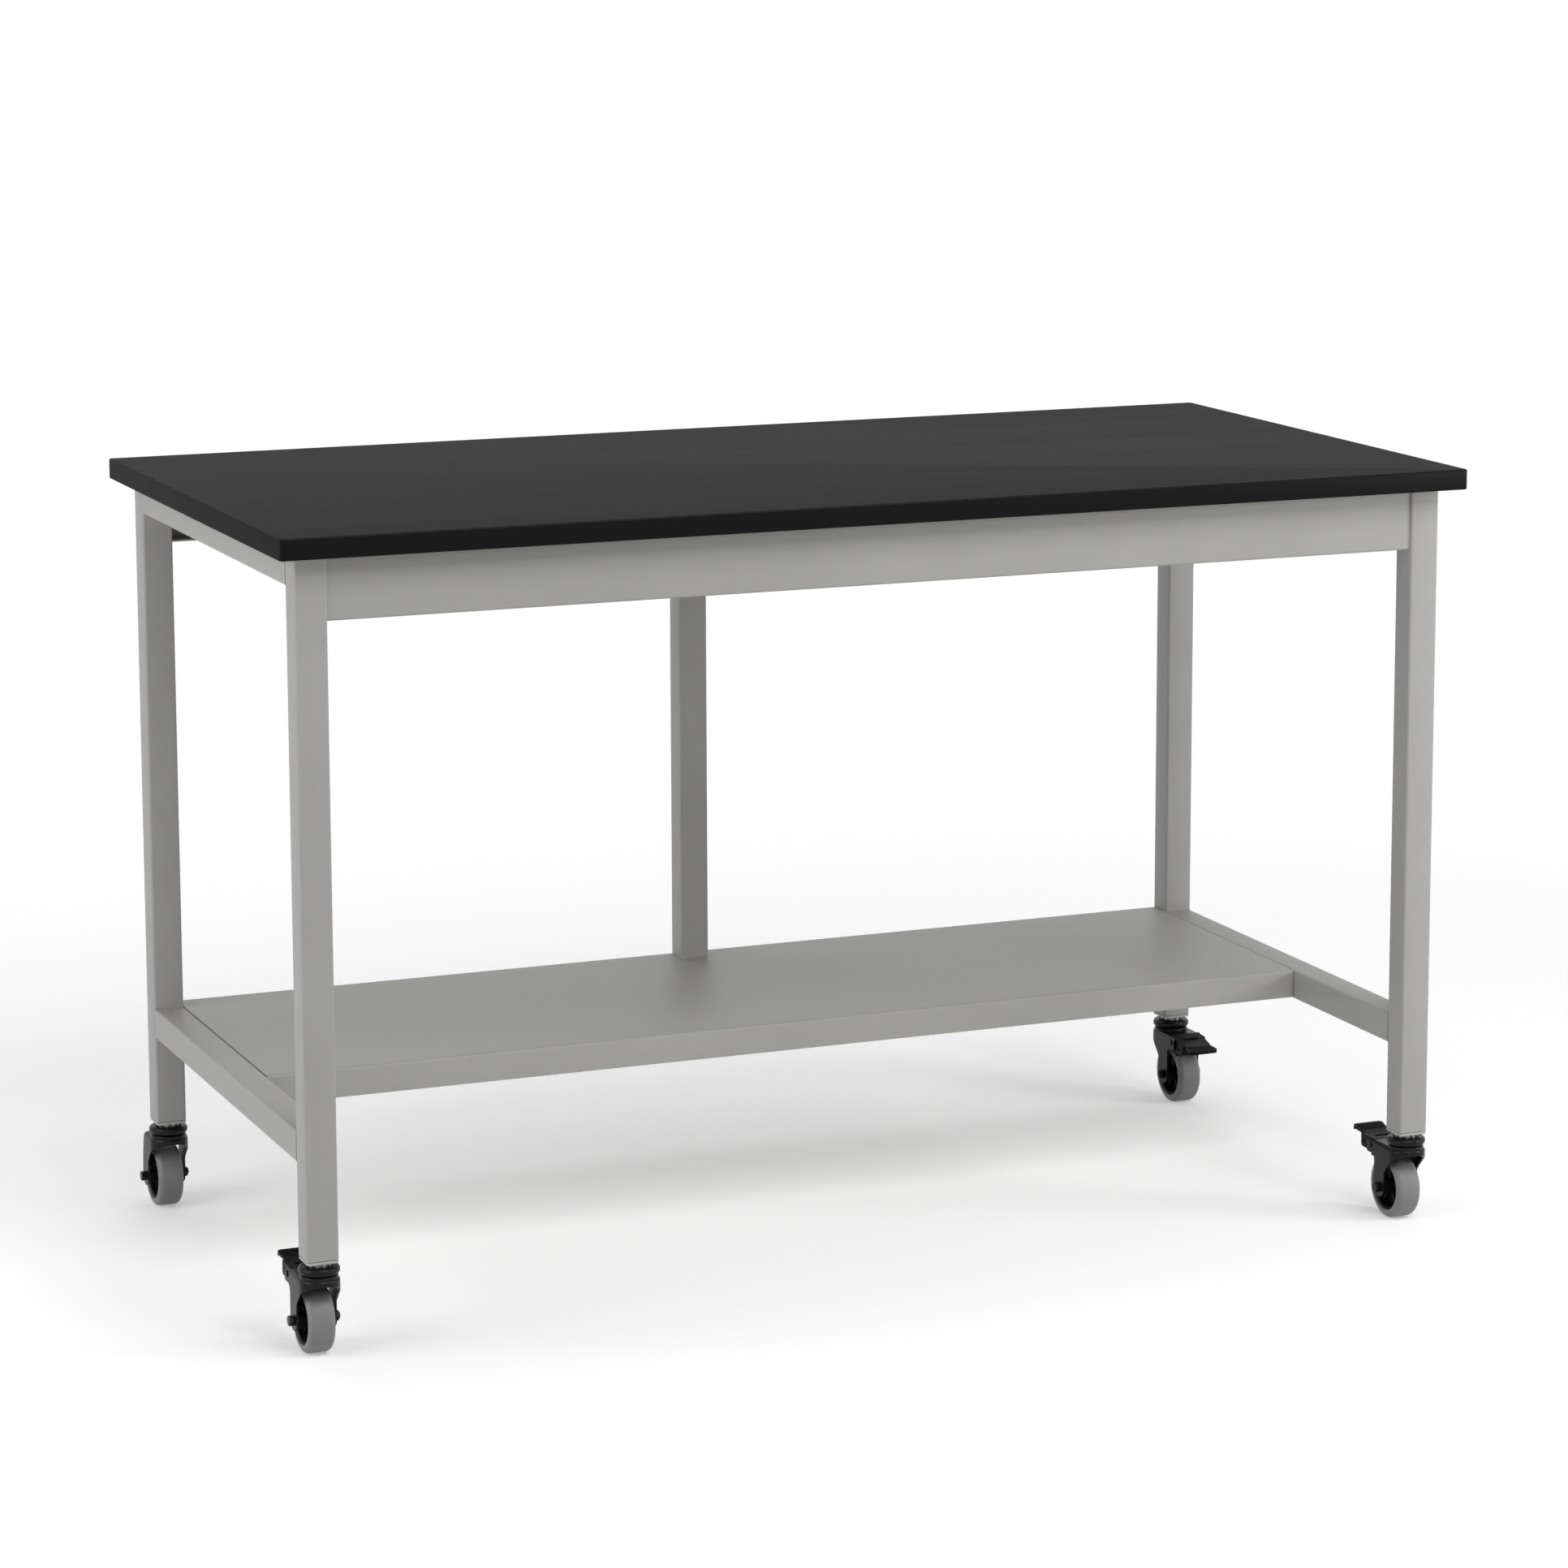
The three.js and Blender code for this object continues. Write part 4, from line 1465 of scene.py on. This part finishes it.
    def build(self, maker: PieceMaker, corner: Corner, caster: "Caster") -> None:
        """Adds the pedal and its pin at a corner.

        Args:
            maker: makes the pieces.
            corner: where they go.
            caster: the caster that carries them.
        """
        name = corner.name
        body = combined(self.channel(caster), self.foot_plate(caster), Boolean.JOIN)
        body = combined(body, self.shoe(caster), Boolean.JOIN)
        pivot = Matrix.Translation((0, self.pin_reach, caster.crown - self.pin_drop))
        press = Matrix.Rotation(-self.travel if corner.pressed else 0.0, 4, "X")
        moved(body, corner.place() @ pivot @ press @ pivot.inverted())
        pedal = maker.add(f"foot_pedal_{name}", body, f"pedal_{name}", Slot.PEDAL, f"brake_pedal_{name}")
        round_edges(pedal, self.edge)
        rivet = moved(self.rivet(caster.half_width + caster.wheel.gap), corner.place() @ pivot)
        maker.add(f"rivet_{name}", rivet, f"caster_{name}", Slot.STEEL, f"pedal_pin_{name}")


@dataclass
class Caster:
    """A swivel caster: pressed fork, axle, wheel and, where it has one, its brake pedal."""

    trail: float = 25 * MM
    axle_height: float = 40 * MM
    crown: float = 98 * MM
    half_width: float = 24.5 * MM
    sheet: float = 2.5 * MM
    shoulder: float = 5 * MM
    shoulder_steps: int = 6
    inner_steps: int = 4
    front_steps: int = 32
    skirt_drop: float = 7.5 * MM
    skirt_lean: Point = (-4 * MM, 84 * MM)
    skirt_steps: int = 20
    strut_top: float = 61 * MM
    boss: float = 12.5 * MM
    boss_steps: int = 24
    crown_end: float = 40 * MM
    plain_crown_end: float = 27 * MM
    plain_steps: int = 16
    cheek_end: float = 58 * MM
    cheek_depth: float = 18 * MM
    cheek_fillet: float = 8 * MM
    fillet_steps: int = 8
    cheek_corner: float = 4 * MM
    corner_steps: int = 6
    dish: float = 22.5 * MM
    dish_rise: float = 3 * MM
    dish_round: float = 2 * MM
    dish_round_steps: int = 6
    edge: float = 0.45 * MM
    steps: int = 64
    margin: float = 1 * MM
    wheel: Wheel = field(default_factory=Wheel)
    pedal: BrakePedal = field(default_factory=BrakePedal)

    def plan(self, radius: float, back: float) -> list[Point]:
        """The fork from above: a round front and straight sides."""
        return [(radius, back), (-radius, back), *arc((0, 0), radius, 180, 360, self.front_steps)]

    def side(self, braked: bool) -> list[Point]:
        """The fork from the side, as back and height points.

        Args:
            braked: whether it has cheeks for a pedal.

        Returns:
            The outline.
        """
        front = -self.half_width - self.margin
        top = self.crown + self.margin
        skirt = self.crown - self.skirt_drop
        near = self.trail - self.boss
        far = self.trail + self.boss
        bottom = self.crown - self.cheek_depth
        strut = (near, self.strut_top)
        outline = [(front, top), *curve((front, skirt), self.skirt_lean, strut, self.skirt_steps)]
        outline += arc((self.trail, self.axle_height), self.boss, 180, 360, self.boss_steps)
        if braked:
            fillet, corner = self.cheek_fillet, self.cheek_corner
            outline += arc((far + fillet, bottom - fillet), fillet, 180, 90, self.fillet_steps)
            outline += arc((self.cheek_end - corner, bottom + corner), corner, -90, 0, self.corner_steps)
            outline.append((self.cheek_end, top))
        else:
            end = (self.plain_crown_end, top)
            outline += curve((far, self.axle_height), (far, bottom), end, self.plain_steps)[1:]
        return outline

    def fork(self, braked: bool) -> BMesh:
        """The pressed fork with its lower race dish.

        Args:
            braked: whether it has cheeks for a pedal.

        Returns:
            The fork's mesh in the caster's own frame.
        """
        back = self.cheek_end + 2 * self.shoulder
        inside = self.half_width - self.sheet
        outer = prism(self.plan(self.half_width, back), Axis.Z, 0, self.crown)
        ease(outer, sharp(outer, self.crown / 2), self.shoulder, self.shoulder_steps)
        roof = self.crown - self.sheet
        inner = prism(self.plan(inside, back + self.shoulder), Axis.Z, -self.margin, roof)
        ease(inner, sharp(inner, self.crown / 2), self.shoulder - self.sheet, self.inner_steps)
        shell = combined(outer, inner, Boolean.CUT)
        silhouette = prism(self.side(braked), Axis.X, -2 * self.half_width, 2 * self.half_width)
        shell = combined(shell, silhouette, Boolean.COMMON)
        if braked:
            low = Vector((-inside, self.crown_end, self.crown - 2 * self.shoulder))
            gap = box(low, Vector((inside, 2 * back, self.crown + self.shoulder)))
            shell = combined(shell, gap, Boolean.CUT)
        seat = self.crown - self.sheet / 2
        top = self.crown + self.dish_rise
        bend = self.dish_round
        rim = arc((self.dish - bend, top - bend), bend, 0, 90, self.dish_round_steps)
        dish = turned([(0, seat), (self.dish, seat), *rim, (0, top)], Axis.Z, self.steps)
        return combined(shell, dish, Boolean.JOIN)

    def build(self, maker: PieceMaker) -> None:
        """Models all four casters.

        Args:
            maker: makes the pieces.
        """
        for corner in CORNERS:
            name = corner.name
            fork = moved(self.fork(corner.braked), corner.place())
            piece = maker.add(f"pressed_fork_{name}", fork, f"caster_{name}", Slot.STEEL, f"fork_{name}")
            round_edges(piece, self.edge)
            self.wheel.build(maker, corner, self)
            if corner.braked:
                self.pedal.build(maker, corner, self)


# Stage


@dataclass(frozen=True)
class Lamp:
    """A soft rectangular lamp that faces the bench."""

    name: str
    at: tuple[float, float, float]
    size: Point
    power: float
    target: tuple[float, float, float] = (0.0, 0.0, 0.5)
    mirrored: bool = True

    def build(self) -> None:
        """Adds the lamp."""
        data = bpy.data.lights.new(self.name, "AREA")
        data.shape = "RECTANGLE"
        data.size, data.size_y = self.size
        data.energy = self.power
        lamp = bpy.data.objects.new(self.name, data)
        lamp.location = self.at
        lamp.visible_glossy = self.mirrored
        lamp.rotation_euler = (Vector(self.target) - Vector(self.at)).to_track_quat("-Z", "Y").to_euler()
        bpy.context.scene.collection.objects.link(lamp)


@dataclass
class Studio:
    """White floor, soft lamps and the camera."""

    floor_half: float = 9.0
    floor_tone: float = 0.86
    floor_gain: float = 1.48
    floor_lift: float = 0.3
    fade: Point = (1.3, 2.6)
    ambient: float = 0.27
    lens: float = 112.17
    eye: tuple[float, float, float] = (-2.2726, -5.6127, 1.7692)
    yaw: float = 23.02
    pitch: float = 9.44
    shift: Point = (-0.0518, -0.0999)
    lamps: tuple[Lamp, ...] = (
        Lamp("front_softbox", (0.6, -3.0, 3.6), (3.0, 2.0), 82.0),
        Lamp("left_softbox", (-3.2, -0.4, 1.4), (2.0, 2.2), 36.0, (0.0, 0.0, 0.6)),
        Lamp("right_softbox", (2.8, -1.8, 1.1), (0.9, 0.8), 31.0),
        Lamp("back_softbox", (0.0, 3.6, 1.7), (4.0, 2.0), 26.0, (0.0, 0.0, 0.4), mirrored=False),
        Lamp("top_softbox", (0.2, 0.4, 4.0), (3.0, 2.0), 22.0),
    )

    def seen(self, graph: Graph) -> NodeSocket:
        """Tells rays that show the stage itself, straight, mirrored or through glass, from those that light.

        Args:
            graph: the stage material's or the world's nodes.

        Returns:
            A socket that is 1 for the first and 0 for the others.
        """
        path = graph.add("LightPath")
        glossy = graph.math("MAXIMUM", path.outputs["Is Camera Ray"], path.outputs["Is Glossy Ray"])
        return graph.math("MAXIMUM", glossy, path.outputs["Is Transmission Ray"])

    def floor(self) -> None:
        """Lays a matt white floor that keeps shadows."""
        bm = bmesh.new()
        bmesh.ops.create_grid(bm, x_segments=1, y_segments=1, size=self.floor_half)
        mesh = bpy.data.meshes.new("studio_floor")
        bm.to_mesh(mesh)
        bm.free()
        mesh.materials.append(self.floor_paint())
        floor = bpy.data.objects.new("studio_floor", mesh)
        bpy.context.scene.collection.objects.link(floor)

    def floor_paint(self) -> Material:
        """Matt white that fades into the white behind the floor.

        Returns:
            The floor's material.
        """
        material = bpy.data.materials.new("studio_floor")
        material.use_nodes = True
        material.node_tree.nodes.clear()
        graph = Graph(material.node_tree)
        reach = graph.add("VectorMath")
        reach.operation = "LENGTH"
        graph.feed(reach.inputs[0], graph.add("TexCoord").outputs["Object"])
        far = graph.span(reach.outputs["Value"], *self.fade, self.floor_lift, 1.0)
        seen = self.seen(graph)
        tones = (grey(self.floor_tone), grey(self.floor_tone * self.floor_gain))
        matt = graph.add("BsdfDiffuse", Color=graph.mix(seen, *tones))
        glow = graph.add("Emission", Strength=1.0)
        blend = graph.add("MixShader", Fac=graph.math("MULTIPLY", seen, far))
        graph.feed(blend.inputs[1], matt.outputs[0])
        graph.feed(blend.inputs[2], glow.outputs[0])
        graph.add("OutputMaterial", Surface=blend.outputs[0])
        return material

    def world(self) -> None:
        """A white surround that lights the bench softly and shows as white."""
        world = bpy.data.worlds.new("studio")
        bpy.context.scene.world = world
        world.use_nodes = True
        world.node_tree.nodes.clear()
        graph = Graph(world.node_tree)
        strength = graph.span(self.seen(graph), 0.0, 1.0, self.ambient, 1.0)
        white = graph.add("Background", Color=grey(1.0), Strength=strength)
        graph.add("OutputWorld", Surface=white.outputs[0])

    def camera(self) -> None:
        """The photographer's camera."""
        data = bpy.data.cameras.new("camera")
        data.lens = self.lens
        data.shift_x, data.shift_y = self.shift
        camera = bpy.data.objects.new("camera", data)
        camera.location = self.eye
        camera.rotation_euler = (math.radians(90 - self.pitch), 0, math.radians(-self.yaw))
        bpy.context.scene.collection.objects.link(camera)
        bpy.context.scene.camera = camera

    def build(self) -> None:
        """Sets the whole stage."""
        bpy.context.scene.view_settings.view_transform = "Standard"
        self.camera()
        self.floor()
        self.world()
        for lamp in self.lamps:
            lamp.build()


def main() -> None:
    """Builds the bench and its stage."""
    logging.basicConfig(level=logging.INFO, format="%(name)s %(message)s")
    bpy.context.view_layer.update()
    groups = SharedGroups()
    maker = PieceMaker({finish.slot: finish.material(groups) for finish in FINISHES})
    Studio().build()
    for assembly in (Worktop(), TubeFrame(), Shelf(), LegFoot(), Caster()):
        assembly.build(maker)
    for corner in CORNERS:
        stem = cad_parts[f"stem_{corner.name}"]
        stem.data.materials.clear()
        stem.data.materials.append(maker.materials[Slot.ZINC])


if __name__ == "__main__":
    main()
